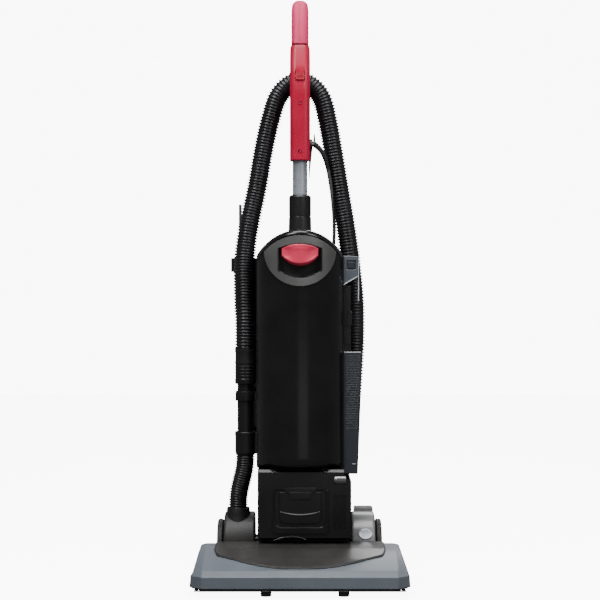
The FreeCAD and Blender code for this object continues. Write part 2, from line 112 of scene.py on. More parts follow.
# The backdrop: a lit sheet of paper far behind the machine, upright, so the background is white.
backdrop_bm = bmesh.new()
backdrop_bm.faces.new([backdrop_bm.verts.new(corner) for corner in ((-6.0, 5.9, -0.5), (6.0, 5.9, -0.5),
                                                                    (6.0, 5.9, 6.0),
                                                                   (-6.0, 5.9, 6.0))])
backdrop_mesh = bpy.data.meshes.new("studio_backdrop")
backdrop_bm.to_mesh(backdrop_mesh)
backdrop_bm.free()
backdrop = bpy.data.objects.new("studio_backdrop", backdrop_mesh)
glowing = bpy.data.materials.new("backlit_paper")
glowing.use_nodes = True
glowing.node_tree.nodes["Principled BSDF"].inputs["Base Color"].default_value = (1.0, 1.0, 1.0, 1.0)
glowing.node_tree.nodes["Principled BSDF"].inputs["Emission Color"].default_value = (1.0, 1.0, 1.0, 1.0)
glowing.node_tree.nodes["Principled BSDF"].inputs["Emission Strength"].default_value = 9.0
backdrop.visible_glossy = False
backdrop.visible_diffuse = False
backdrop.data.materials.append(glowing)
scene.collection.objects.link(backdrop)

# The room's soft light, and five lamps: key, fill, top, a low strip for the door's gloss, and back.
world = bpy.data.worlds.new("studio_room")
world.use_nodes = True
world.node_tree.nodes["Background"].inputs["Color"].default_value = (1.0, 1.0, 1.0, 1.0)
world.node_tree.nodes["Background"].inputs["Strength"].default_value = 0.22
scene.world = world

for light_name, place, power, width, height in (("key_light", (-1.2, -1.9, 2.8), 75.0, 1.1, 1.1),
                                                ("fill_light", (1.6, -2.0, 2.1), 38.0, 1.2, 1.2),
                                                ("top_light", (0.0, -0.5, 2.8), 70.0, 1.4, 1.4),
                                                ("low_strip_light", (0.45, -3.4, 0.08), 1.6, 1.4, 0.4),
                                                ("back_light", (0.6, 2.4, 2.0), 25.0, 1.2, 1.2)):
    light_data = bpy.data.lights.new(light_name, "AREA")
    light_data.energy = power
    light_data.shape = "RECTANGLE"
    light_data.size = width
    light_data.size_y = height
    light = bpy.data.objects.new(light_name, light_data)
    light.location = place
    light.rotation_euler = (Vector((0.0, 0.0, 0.55)) - Vector(place)).to_track_quat("-Z", "Y").to_euler()
    scene.collection.objects.link(light)


# The stretch hose: black ribbed plastic over a wire coil, 37 mm across. It leaves the wand's cuff,
# goes over the hook behind the grip and down the right side into the body's inlet.
HOSE_CREST = 0.0430
HOSE_PITCH = 0.0060
HOSE_RIB = 0.0040
HOSE_ROUTE = [(-0.107, 0.058, 0.449), (-0.107, 0.058, 0.496), (-0.109, 0.074, 0.556), (-0.111, 0.092, 0.625),
              (-0.101, 0.102, 0.695), (-0.085, 0.108, 0.765), (-0.074, 0.11, 0.835), (-0.060, 0.11, 0.9),
              (-0.042, 0.1095, 0.957), (0.0, 0.109, 0.984), (0.042, 0.1095, 0.955), (0.056, 0.11, 0.897),
              (0.068, 0.111, 0.828), (0.080, 0.112, 0.755), (0.093, 0.112, 0.68), (0.103, 0.112, 0.605),
              (0.11, 0.112, 0.53), (0.109, 0.113, 0.45), (0.104, 0.118, 0.375), (0.095, 0.133, 0.3),
              (0.095, 0.133, 0.224)]


def mottled_finish(name, dark, light, roughness, grain=1400.0, depth=0.08, metallic=0.0, coat=0.0,
                   sheen=0.0, specular=0.5, patch=14.0, spread=0.08):
    """A moulded, cast or painted skin: two close colours in soft patches, fine grain and handling marks."""
    material = bpy.data.materials.new(name)
    material.use_nodes = True
    tree = material.node_tree
    shader = tree.nodes["Principled BSDF"]
    shader.inputs["Metallic"].default_value = metallic
    shader.inputs["Coat Weight"].default_value = coat
    shader.inputs["Coat Roughness"].default_value = 0.12
    shader.inputs["Sheen Weight"].default_value = sheen
    shader.inputs["Specular IOR Level"].default_value = specular
    place = tree.nodes.new("ShaderNodeTexCoord")
    cloud = tree.nodes.new("ShaderNodeTexNoise")
    cloud.inputs["Scale"].default_value = patch
    cloud.inputs["Detail"].default_value = 6.0
    tint = tree.nodes.new("ShaderNodeValToRGB")
    tint.color_ramp.elements[0].position = 0.35
    tint.color_ramp.elements[0].color = (*dark, 1.0)
    tint.color_ramp.elements[1].position = 0.65
    tint.color_ramp.elements[1].color = (*light, 1.0)
    handled = tree.nodes.new("ShaderNodeMapRange")
    handled.inputs["To Min"].default_value = roughness - spread
    handled.inputs["To Max"].default_value = roughness + spread
    fine = tree.nodes.new("ShaderNodeTexNoise")
    fine.inputs["Scale"].default_value = grain
    fine.inputs["Detail"].default_value = 3.0
    bump = tree.nodes.new("ShaderNodeBump")
    bump.inputs["Strength"].default_value = depth
    bump.inputs["Distance"].default_value = 0.0004
    links = tree.links
    links.new(place.outputs["Object"], cloud.inputs["Vector"])
    links.new(place.outputs["Object"], fine.inputs["Vector"])
    links.new(cloud.outputs["Fac"], tint.inputs["Fac"])
    links.new(tint.outputs["Color"], shader.inputs["Base Color"])
    links.new(cloud.outputs["Fac"], handled.inputs["Value"])
    links.new(handled.outputs["Result"], shader.inputs["Roughness"])
    links.new(fine.outputs["Fac"], bump.inputs["Height"])
    links.new(bump.outputs["Normal"], shader.inputs["Normal"])
    return material


def route_curve(name, points, radius):
    """A smooth lead through a given route, as one open NURBS spline."""
    data = bpy.data.curves.new(name, "CURVE")
    data.dimensions = "3D"
    data.resolution_u = 12
    data.bevel_depth = radius
    data.bevel_resolution = 5
    data.use_fill_caps = True
    spline = data.splines.new("NURBS")
    spline.points.add(len(points) - 1)
    for point, place in zip(spline.points, points):
        point.co = (*place, 1.0)
    spline.order_u = 3
    spline.use_endpoint_u = True
    piece = bpy.data.objects.new(name, data)
    scene.collection.objects.link(piece)
    return piece


def route_points(points, step):
    """Evenly spaced places along the smooth line of a route."""
    guide = route_curve("guide", points, 0.0)
    guide.data.bevel_depth = 0.0
    line = bpy.data.meshes.new_from_object(guide.evaluated_get(bpy.context.evaluated_depsgraph_get()))
    places = [vertex.co.copy() for vertex in line.vertices]
    bpy.data.objects.remove(guide)
    bpy.data.meshes.remove(line)
    lengths = [0.0]
    for here, there in zip(places, places[1:]):
        lengths.append(lengths[-1] + (there - here).length)
    count = max(2, round(lengths[-1] / step))
    even = []
    spot = 0
    for turn in range(count + 1):
        want = lengths[-1] * turn / count
        while spot < len(lengths) - 2 and lengths[spot + 1] < want:
            spot += 1
        share = (want - lengths[spot]) / max(lengths[spot + 1] - lengths[spot], 1e-9)
        even.append(places[spot].lerp(places[spot + 1], share))
    return even


def swept(name, places, radii, sides=32):
    """A closed round mesh along a line, with a radius at each place and flat ends."""
    bm = bmesh.new()
    rings = []
    across = None
    for spot, place in enumerate(places):
        along = (places[min(spot + 1, len(places) - 1)] - places[max(spot - 1, 0)]).normalized()
        if across is None:
            across = along.orthogonal().normalized()
        across = (across - along * across.dot(along)).normalized()
        up = along.cross(across)
        ring = []
        for side in range(sides):
            angle = 2 * math.pi * side / sides
            ring.append(bm.verts.new(place + (across * math.cos(angle) + up * math.sin(angle)) * radii[spot]))
        rings.append(ring)
    for low, high in zip(rings, rings[1:]):
        for side in range(sides):
            bm.faces.new((low[side], low[(side + 1) % sides], high[(side + 1) % sides], high[side]))
    bm.faces.new(list(reversed(rings[0])))
    bm.faces.new(rings[-1])
    return shaped(name, bm)


def shaped(name, bm, smooth=True):
    """A finished mesh object from a bmesh, with its faces turned outwards."""
    bmesh.ops.recalc_face_normals(bm, faces=bm.faces)
    mesh = bpy.data.meshes.new(name)
    bm.to_mesh(mesh)
    bm.free()
    for face in mesh.polygons:
        face.use_smooth = smooth
    piece = bpy.data.objects.new(name, mesh)
    scene.collection.objects.link(piece)
    return piece


def ribbed(name, route, diameter, pitch, rib):
    """A corrugated hose: four rings of vertices for each rib, crest and valley in turn."""
    places = route_points(route, pitch / 4)
    wave = (0.0, rib * 0.75, rib, rib * 0.75)
    radii = [diameter / 2 - wave[spot % 4] for spot in range(len(places))]
    return swept(name, places, radii, 40), places


hose_plastic = mottled_finish("ribbed_hose_plastic", (0.008, 0.008, 0.010), (0.016, 0.015, 0.019), 0.30,
                              depth=0.04)
hose, hose_line = ribbed("stretch_hose", HOSE_ROUTE, HOSE_CREST, HOSE_PITCH, HOSE_RIB)
hose.data.materials.append(hose_plastic)
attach(hose, "upright")
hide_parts("hose_loop")


# The lower hose: a short length of the same ribbed hose between the wand's holder and the foot's socket.
LOWER_HOSE_ROUTE = [(-0.107, 0.058, 0.24), (-0.107, 0.058, 0.22), (-0.1115, 0.059, 0.199),
                    (-0.117, 0.061, 0.178), (-0.121, 0.062, 0.156), (-0.121, 0.062, 0.136)]
lower_hose, lower_line = ribbed("foot_hose", LOWER_HOSE_ROUTE, 0.0385, 0.0048, 0.0030)
lower_hose.data.materials.append(hose_plastic)
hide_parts("lower_hose")
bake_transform(lower_hose)


# The power lead: 7 mm grey flexible cable. It leaves the clip on the grip, falls in a shallow
# curve behind the body and ends wound in a hank on the two cord hooks, with its plug beside it.
CORD_DIAMETER = 0.007
CORD_ROUTE = [(0.024, 0.071, 0.851), (0.037, 0.073, 0.843), (0.048, 0.078, 0.826), (0.055, 0.086, 0.802),
              (0.061, 0.095, 0.77), (0.066, 0.106, 0.73), (0.069, 0.12, 0.685), (0.067, 0.132, 0.64),
              (0.058, 0.141, 0.602), (0.044, 0.146, 0.575), (0.028, 0.148, 0.556)]
HANK_TURNS = 17
HANK_HALF_WIDE = 0.0165
HANK_LOW, HANK_HIGH = 0.305, 0.558
HANK_FRONT = 0.136


def hank_route():
    """Flat oval turns round the two hooks, in three layers, each turn a little off the last."""
    draw = random.Random(7)
    route = []
    for turn in range(HANK_TURNS):
        layer = turn // 6
        row = turn % 6 if layer % 2 == 0 else 5 - turn % 6
        deep = HANK_FRONT + row * 0.0036
        half = HANK_HALF_WIDE + layer * 0.0028 - 0.0008
        slack = draw.uniform(-0.0015, 0.0015)
        middle_low = HANK_LOW + half
        middle_high = HANK_HIGH - half
        for step in range(14):
            angle = 2 * math.pi * step / 14
            across = half * math.cos(angle)
            middle = middle_high if math.sin(angle) >= 0 else middle_low
            route.append((across, deep + 0.0036 * step / 14, middle + (half + slack) * math.sin(angle)))
    return route


cord_rubber = mottled_finish("grey_flex", (0.065, 0.068, 0.070), (0.095, 0.098, 0.100), 0.50, grain=2200.0,
                             depth=0.1)
lead = route_curve("power_lead", CORD_ROUTE + hank_route(), CORD_DIAMETER / 2)
lead.data.materials.append(cord_rubber)
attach(lead, "upright")
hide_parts("power_cord", "cord_hank")
lead_line = route_points(CORD_ROUTE + hank_route(), 0.004)


# The plug: a moulded rubber body with a ribbed tail and two flat pins, hung beside the hank.
def rounded(piece, width, segments=3, angle=30.0):
    """Rounds the sharp edges of a piece."""
    bevel = piece.modifiers.new("rounded_edges", "BEVEL")
    bevel.width = width
    bevel.segments = segments
    bevel.limit_method = "ANGLE"
    bevel.angle_limit = math.radians(angle)
    bevel.harden_normals = False
    return piece


def applied(piece):
    """The same piece with its modifiers made real."""
    made = bpy.data.meshes.new_from_object(piece.evaluated_get(bpy.context.evaluated_depsgraph_get()))
    piece.modifiers.clear()
    piece.data = made
    return piece


def relief(node, body, material, width, name=None):
    """A CAD part taken over as it is, with its edges rounded as the moulding tool leaves them."""
    source = frame["nodes"][node]
    bm = bmesh.new()
    bm.from_mesh(source.data)
    bmesh.ops.remove_doubles(bm, verts=bm.verts, dist=1e-6)
    bmesh.ops.dissolve_limit(bm, angle_limit=math.radians(1.0), verts=bm.verts, edges=bm.edges)
    piece = shaped(name or node + "_moulding", bm)
    rounded(piece, width)
    applied(piece)
    for face in piece.data.polygons:
        face.use_smooth = True
    smooth = piece.modifiers.new("even_shading", "WEIGHTED_NORMAL")
    smooth.keep_sharp = True
    applied(piece)
    piece.data.materials.clear()
    piece.data.materials.append(material)
    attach(piece, body)
    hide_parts(node)
    return piece


plug_rubber = mottled_finish("plug_rubber", (0.02, 0.02, 0.021), (0.035, 0.035, 0.036), 0.5)
plug = relief("power_plug", "upright", plug_rubber, 0.003)




# The foot's hood: one large shell of blue-grey moulded plastic. Its nose is a flat band with a
# long slope above it, and each end is cut back in facets. It drops over the tray from above.
def lofted(name, sections, smooth=False):
    """A closed solid through outlines that all have the same number of points."""
    bm = bmesh.new()
    rings = [[bm.verts.new(point) for point in section] for section in sections]
    count = len(rings[0])
    for low, high in zip(rings, rings[1:]):
        for side in range(count):
            bm.faces.new((low[side], low[(side + 1) % count], high[(side + 1) % count], high[side]))
    bm.faces.new(list(reversed(rings[0])))
    bm.faces.new(rings[-1])
    return shaped(name, bm, smooth)


def carved(piece, tool):
    """The piece with the tool's volume cut away, and the tool thrown away."""
    cut = piece.modifiers.new("cut", "BOOLEAN")
    cut.operation = "DIFFERENCE"
    cut.solver = "EXACT"
    cut.object = tool
    applied(piece)
    bpy.data.objects.remove(tool)
    return piece


def finished(piece, body, slot_name, material, *nodes):
    """Shaded smooth but for its hard edges, painted, and fixed to its body in place of the CAD parts."""
    for face in piece.data.polygons:
        face.use_smooth = True
    shading = piece.modifiers.new("even_shading", "WEIGHTED_NORMAL")
    shading.keep_sharp = True
    applied(piece)
    piece.data.materials.clear()
    piece.data.materials.append(material)
    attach(piece, body)
    if nodes:
        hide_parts(*nodes)
    return piece


hood_low, hood_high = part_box("hood")
base_low, base_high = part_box("nozzle_base")
HOOD_HALF = hood_high[0]
HOOD_TOP = hood_high[2]
HOOD_FRONT = hood_low[1]
HOOD_HEM = base_low[2] + 0.0032
HOOD_BACK = hood_high[1]
hood_grey = mottled_finish("blue_grey_hood", (0.098, 0.114, 0.134), (0.116, 0.134, 0.156), 0.42, depth=0.10)


def hood_section(across, pull_in, lean):
    """The hood's side outline at one place across, drawn in from the front and leant in at the top."""
    inward = -1.0 if across > 0 else 1.0
    points = [(HOOD_FRONT + pull_in, HOOD_HEM, 0.0), (HOOD_FRONT + pull_in, 0.0385, 0.12),
              (-0.150 + pull_in * 0.9, 0.0480 - lean * 0.3, 0.45),
              (-0.112 + pull_in * 0.6, 0.0610 - lean * 0.25, 0.8),
              (-0.060, 0.0715 - lean * 0.2, 0.95), (HOOD_BACK, HOOD_TOP - lean * 0.2, 1.0),
              (HOOD_BACK, HOOD_HEM, 0.0)]
    return [(across + inward * lean * share, deep, high) for deep, high, share in points]


hood = lofted("hood_shell", [hood_section(-HOOD_HALF + 0.0008, 0.020, 0.012),
                             hood_section(-HOOD_HALF + 0.024, 0.0, 0.0),
                             hood_section(HOOD_HALF - 0.024, 0.0, 0.0),
                             hood_section(HOOD_HALF - 0.0008, 0.020, 0.012)])
hood_hollow = lofted("hood_hollow", [
    [(across, -0.1485, HOOD_HEM - 0.02), (across, -0.1485, 0.0440), (across, -0.112, 0.0578),
     (across, -0.060, 0.0683),
     (across, HOOD_BACK + 0.02, 0.0710), (across, HOOD_BACK + 0.02, HOOD_HEM - 0.02)]
    for across in (-HOOD_HALF + 0.020, HOOD_HALF - 0.020)])
CORNER = [(0.1720, -0.1634), (0.1984, -0.1390)]
tray_room = lofted("tray_room", [
    [(-0.1984, HOOD_BACK + 0.02, high), (-CORNER[1][0], CORNER[1][1], high),
     (-CORNER[0][0], CORNER[0][1], high),
     (CORNER[0][0], CORNER[0][1], high), (CORNER[1][0], CORNER[1][1], high), (0.1984, HOOD_BACK + 0.02, high)]
    for high in (HOOD_HEM - 0.02, base_high[2] + 0.0004)])
carved(hood, hood_hollow)
carved(hood, tray_room)
rounded(hood, 0.0022, 3, 12.0)
finished(applied(hood), "foot", "hood_grey", hood_grey, "hood")


# The insert: a smooth warm-grey plastic panel let into the hood's slope, straight at the back and
# swept to a blunt tongue at the front. A thin black gasket shows all round it.
INSERT_HALF = 0.159
INSERT_CORNER = (-0.060, -0.086)
INSERT_TONGUE = (0.026, -0.1425)
insert_grey = mottled_finish("warm_grey_insert", (0.026, 0.0245, 0.024), (0.036, 0.034, 0.033), 0.32,
                             depth=0.03, specular=0.4)
gasket_black = mottled_finish("gasket_black", (0.006, 0.006, 0.006), (0.010, 0.010, 0.010), 0.6, depth=0.1)


def hood_height(deep):
    """The height of the hood's skin at a distance back."""
    line = [(HOOD_FRONT, 0.0385), (-0.150, 0.0480), (-0.112, 0.0610), (-0.060, 0.0715), (HOOD_BACK, HOOD_TOP)]
    for (near, low), (far, high) in zip(line, line[1:]):
        if deep <= far:
            share = max(0.0, (deep - near) / (far - near))
            return low + (high - low) * share
    return HOOD_TOP


def insert_front(across, grow=0.0):
    """How far forward the insert reaches at one place across."""
    half = INSERT_HALF + grow
    share = min(1.0, abs(across) / half)
    tongue = INSERT_TONGUE[1] - grow
    corner = INSERT_CORNER[1] - grow
    if abs(across) < INSERT_TONGUE[0]:
        return tongue
    run = (abs(across) - INSERT_TONGUE[0]) / (half - INSERT_TONGUE[0])
    sweep = tongue + (corner - tongue) * run ** 1.7
    shoulder = max(0.0, (share - 0.94) / 0.06)
    return sweep + (INSERT_CORNER[0] - corner) * shoulder ** 2.5


def insert_panel(name, grow, low, high):
    """The insert's sheet, laid on the hood's slope between two heights above its skin."""
    bm = bmesh.new()
    columns, rows = 96, 28
    half = INSERT_HALF + grow
    sheets = []
    for lift in (low, high):
        sheet = []
        for column in range(columns + 1):
            across = -half + 2 * half * column / columns
            front = insert_front(across, grow)
            line = []
            for row in range(rows + 1):
                deep = front + (HOOD_BACK - 0.0005 - front) * row / rows
                line.append(bm.verts.new((across, deep, hood_height(deep) + lift)))
            sheet.append(line)
        sheets.append(sheet)
    for sheet in sheets:
        for column in range(columns):
            for row in range(rows):
                bm.faces.new((sheet[column][row], sheet[column + 1][row], sheet[column + 1][row + 1],
                              sheet[column][row + 1]))
    bottom, top = sheets
    for column in range(columns):
        for row in (0, rows):
            bm.faces.new((bottom[column][row], bottom[column + 1][row], top[column + 1][row],
                          top[column][row]))
    for row in range(rows):
        for column in (0, columns):
            bm.faces.new((bottom[column][row], bottom[column][row + 1], top[column][row + 1],
                          top[column][row]))
    return shaped(name, bm)


insert = rounded(insert_panel("hood_insert_panel", 0.0, 0.0004, 0.0030), 0.0009, 2, 40.0)
finished(applied(insert), "foot", "insert_grey", insert_grey, "hood_insert")
gasket = insert_panel("hood_insert_gasket", 0.0022, 0.0001, 0.0020)
finished(gasket, "foot", "soft_rubber", gasket_black)


# The side domes: two short drums of mid-grey plastic over the pivot, glossy, with rounded rims. The left one
# carries the hose socket and is coloured much darker as painted shade; the right one carries a plain oval
# medallion.
def turned(name, outline, origin, axis, sides=96):
    """A closed solid turned about an axis, from (distance along, radius) points of one outline."""
    bm = bmesh.new()
    spin = Vector((0.0, 0.0, 1.0)).rotation_difference(Vector(axis)).to_matrix()
    rings = []
    for along, radius in outline:
        if radius < 1e-6:
            rings.append([bm.verts.new(Vector(origin) + spin @ Vector((0.0, 0.0, along)))])
            continue
        ring = []
        for side in range(sides):
            angle = 2 * math.pi * side / sides
            place = Vector((radius * math.cos(angle), radius * math.sin(angle), along))
            ring.append(bm.verts.new(Vector(origin) + spin @ place))
        rings.append(ring)
    closed = list(zip(rings, rings[1:]))
    if outline[0][1] > 1e-6 and outline[-1][1] > 1e-6:
        closed.append((rings[-1], rings[0]))
    for low, high in closed:
        for side in range(sides):
            after = (side + 1) % sides
            if len(low) == 1:
                bm.faces.new((low[0], high[after], high[side]))
            elif len(high) == 1:
                bm.faces.new((low[side], low[after], high[0]))
            else:
                bm.faces.new((low[side], low[after], high[after], high[side]))
    return shaped(name, bm)


# The left dome's finish is the same grey plastic darkened as painted shade; the right one keeps the plain
# mid-grey.
dome_greys = {"left": mottled_finish("dome_grey_painted_shade", (0.024, 0.023, 0.023), (0.034, 0.033, 0.032), 0.42,
                                     depth=0.04, specular=0.25),
              "right": mottled_finish("mid_grey_dome", (0.150, 0.152, 0.155), (0.190, 0.192, 0.195), 0.26,
                                      depth=0.02)}
base_top = base_high[2] + 0.0002
for side, inward in (("left", 1.0), ("right", -1.0)):
    low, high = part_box(side + "_dome")
    outer, inner = (low[0], high[0]) if inward > 0 else (high[0], low[0])
    radius = (high[1] - low[1]) / 2
    centre_deep = (high[1] + low[1]) / 2
    pivot_high = high[2] - radius
    wide = abs(inner - outer)
    rim = [(0.0, 0.050), (0.0, radius - 0.006), (0.0008, radius - 0.003), (0.0025, radius - 0.001),
           (0.006, radius), (wide - 0.004, radius), (wide - 0.001, radius - 0.001), (wide, radius - 0.003),
           (wide, radius - 0.006), (0.004, radius - 0.006), (0.004, 0.050)]
    dome = turned("dome_cover_" + side, rim, (outer, centre_deep, pivot_high), (inward, 0.0, 0.0))
    reach = 0.1
    below = lofted("below_tray", [[(across, centre_deep - reach, -0.1), (across, centre_deep + reach, -0.1),
                                   (across, centre_deep + reach, base_top),
                                   (across, centre_deep - reach, base_top)]
                                  for across in (-0.2, 0.2)])
    carved(dome, below)
    duct_way = lofted("duct_way", [[(across, -0.02, 0.030), (across, 0.040, 0.030), (across, 0.040, 0.0675),
                                    (across, -0.02, 0.0675)]
                                   for across in sorted((outer + inward * 0.004, inner - inward * 0.005))])
    carved(dome, duct_way)
    if side == "left":
        socket_low, socket_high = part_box("hose_socket")
        socket_middle = ((socket_low[0] + socket_high[0]) / 2, (socket_low[1] + socket_high[1]) / 2)
        carved(dome, turned("socket_way", [(0.0, 0.0), (0.0, 0.0203), (0.09, 0.0203), (0.09, 0.0)],
                            (*socket_middle, 0.08), (0.0, 0.0, 1.0)))
    finished(dome, "foot", "dome_grey", dome_greys[side], side + "_dome")

medallion_pale = mottled_finish("medallion_pale", (0.42, 0.45, 0.50), (0.60, 0.63, 0.68), 0.30, depth=0.2,
                                metallic=0.4)
right_low, right_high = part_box("right_dome")
dome_radius = (right_high[1] - right_low[1]) / 2
dome_axis = ((right_low[1] + right_high[1]) / 2, right_high[2] - dome_radius)
MEDALLION_ANGLE = math.radians(157.0)
medallion_out = Vector((0.0, math.cos(MEDALLION_ANGLE), math.sin(MEDALLION_ANGLE)))
medallion_place = Vector((0.1265, dome_axis[0], dome_axis[1])) + medallion_out * (dome_radius - 0.0018)
medallion = turned("oval_medallion", [(0.0, 0.0), (0.0, 0.0105), (0.0020, 0.0105), (0.0030, 0.0098),
                                      (0.0030, 0.0085),
                                      (0.0024, 0.0080), (0.0024, 0.0)], medallion_place, medallion_out, 64)
medallion.data.transform(Matrix.Translation(medallion_place) @ Matrix.Diagonal((1.28, 1.0, 1.0, 1.0))
                         @ Matrix.Translation(-medallion_place))
finished(medallion, "foot", "bezel_metal", medallion_pale)


# The bag door: a long bowed cover in gloss black plastic, arched at the top. It hangs on a pin
# along its lower edge and holds the latch in a pocket behind a metal-look surround.
door_low, door_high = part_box("bag_door")
DOOR_HALF = door_high[0]
DOOR_FOOT = 0.220
DOOR_SHOULDER = 0.6270
DOOR_TOP = door_high[2]
DOOR_CENTRE = 0.052
DOOR_ROUND = 0.090
DOOR_BACK = 0.0174
DOOR_WALL = 0.003
gloss_black = mottled_finish("gloss_black_shell", (0.0035, 0.0035, 0.0040), (0.0065, 0.0065, 0.0072), 0.20,
                             depth=0.012, specular=0.35, spread=0.03)
satin_black = mottled_finish("satin_black_trim", (0.006, 0.006, 0.0068), (0.011, 0.011, 0.012), 0.38,
                             depth=0.10,
                             specular=0.35)


def arch_height(across, half, shoulder, top):
    """The height of the arch over one place across."""
    rise = top - shoulder
    radius = (half ** 2 + rise ** 2) / (2 * rise)
    return top - radius + math.sqrt(radius ** 2 - across ** 2)


RIM_WIDE = 0.0095


def door_front(across, high, inset=0.0):
    """How far forward the skin stands: a rounded rim under the arch, a seam line, then the bowed front."""
    radius = DOOR_ROUND - inset
    deep = DOOR_CENTRE - math.sqrt(max(radius ** 2 - across ** 2, 0.0))
    below_arch = arch_height(across, DOOR_HALF, DOOR_SHOULDER, DOOR_TOP) - high
    if inset == 0.0 and below_arch < RIM_WIDE:
        share = max(below_arch, 0.0) / RIM_WIDE
        deep += 0.0105 * (1.0 - math.sqrt(1.0 - (1.0 - share) ** 2)) - 0.0012
    elif inset == 0.0 and below_arch < RIM_WIDE + 0.0012:
        deep += 0.0022
    foot = max(0.0, 0.006 - (high - DOOR_FOOT)) / 0.006
    return min(deep + 0.0045 * foot ** 2, DOOR_BACK - 0.001)


def door_sheet(name, inset, back, foot):
    """The solid between the bowed skin and a flat back."""
    bm = bmesh.new()
    columns = 64
    half = DOOR_HALF - inset
    drops = [0.0, 0.0003, 0.0008, 0.0015, 0.0025, 0.0038, 0.0052, 0.0066, 0.0080, 0.0090, 0.0094, 0.0096,
             0.0106,
             0.0108, 0.0112, 0.0130]
    front, rear = [], []
    rows = len(drops) + 40
    for column in range(columns + 1):
        turn = math.pi * column / columns
        across = -half * math.cos(turn)
        top = arch_height(across, DOOR_HALF, DOOR_SHOULDER, DOOR_TOP) - inset
        front_line, rear_line = [], []
        for row in range(rows + 1):
            if row < len(drops):
                high = top - drops[row]
            else:
                share = (row - len(drops) + 1) / 41
                run = top - drops[-1] - foot - inset
                high = foot + inset + run * (1.0 - share)
            front_line.append(bm.verts.new((across, door_front(across, high, inset), high)))
            rear_line.append(bm.verts.new((across, back, high)))
        front.append(front_line)
        rear.append(rear_line)
    for sheet in (front, rear):
        for column in range(columns):
            for row in range(rows):
                bm.faces.new((sheet[column][row], sheet[column + 1][row], sheet[column + 1][row + 1],
                              sheet[column][row + 1]))
    for column in range(columns):
        for row in (0, rows):
            bm.faces.new((front[column][row], front[column + 1][row], rear[column + 1][row],
                          rear[column][row]))
    for row in range(rows):
        for column in (0, columns):
            bm.faces.new((front[column][row], front[column][row + 1], rear[column][row + 1],
                          rear[column][row]))
    return shaped(name, bm)


POCKET_HALF = 0.0400
POCKET_SIDES = (0.5985, 0.6410)
POCKET_ARCH = (0.5840, 0.6495)


def lens_outline(half, sides, arch, steps=18):
    """An outline with upright sides under and over two shallow arcs, as (across, up) points."""
    points = []
    for lean, side, crown in ((1.0, sides[0], arch[0]), (-1.0, sides[1], arch[1])):
        rise = abs(crown - side)
        radius = (half ** 2 + rise ** 2) / (2 * rise)
        for step in range(steps + 1):
            across = -half * lean + 2 * half * lean * step / steps
            height = rise - radius + math.sqrt(radius ** 2 - across ** 2)
            points.append((across, side - lean * height))
    return points


def upright_slab(name, outline, near, far):
    """A solid with one outline in the front view, between two depths."""
    return lofted(name, [[(across, deep, high) for across, high in outline] for deep in (near, far)])


door = door_sheet("bag_door_shell", 0.0, DOOR_BACK, DOOR_FOOT)
carved(door, door_sheet("door_hollow", DOOR_WALL, DOOR_BACK + 0.004, DOOR_FOOT))
carved(door, upright_slab("pocket_way", lens_outline(POCKET_HALF + 0.001, POCKET_SIDES, POCKET_ARCH), -0.06,
                          0.0))
finished(door, "door", "shell_black", gloss_black, "bag_door")

# The pocket behind the latch: a matt black cup, open to the front, for the fingers.
pocket = upright_slab("latch_pocket_cup", lens_outline(POCKET_HALF + 0.0025, POCKET_SIDES, POCKET_ARCH),
                      -0.0325, -0.0115)
carved(pocket, upright_slab("pocket_hollow", lens_outline(POCKET_HALF - 0.0005, POCKET_SIDES,
                                                          (POCKET_ARCH[0] + 0.003, POCKET_ARCH[1] - 0.003)),
                            -0.06, -0.0140))
finished(pocket, "door", "trim_black", satin_black)

# The two hinge knuckles at the foot of the door, drilled for the pin.
for side, across in (("left", -0.0475), ("right", 0.0475)):
    knuckle = turned("door_knuckle_" + side, [(0.0, 0.00255), (0.0, 0.0052), (0.0006, 0.0058),
                                              (0.0084, 0.0058),
                                              (0.009, 0.0052), (0.009, 0.00255)],
                     (across - 0.0045, -0.012, 0.211), (1.0, 0.0, 0.0), 40)
    finished(knuckle, "door", "shell_black", satin_black)


# The latch's surround: an eye-shaped plate of brushed, darkened metal bent to the door's curve,
# with its upper edge on the door's arch and a window cut for the latch.
SURROUND_HALF = 0.0690
SURROUND_LOW = 0.5685
SURROUND_LIFT = 0.0024


def brushed_finish(name, dark, light, roughness):
    """Metal drawn along its length: long fine streaks in colour, roughness and height."""
    material = mottled_finish(name, dark, light, roughness, depth=0.0, metallic=0.85, patch=9.0)
    tree = material.node_tree
    place = tree.nodes["Texture Coordinate"]
    stretch = tree.nodes.new("ShaderNodeMapping")
    stretch.inputs["Scale"].default_value = (12.0, 12.0, 900.0)
    streak = tree.nodes.new("ShaderNodeTexNoise")
    streak.inputs["Scale"].default_value = 1.6
    streak.inputs["Detail"].default_value = 4.0
    bump = tree.nodes["Bump"]
    bump.inputs["Strength"].default_value = 0.18
    tree.links.new(place.outputs["Object"], stretch.inputs["Vector"])
    tree.links.new(stretch.outputs["Vector"], streak.inputs["Vector"])
    tree.links.new(streak.outputs["Fac"], bump.inputs["Height"])
    return material


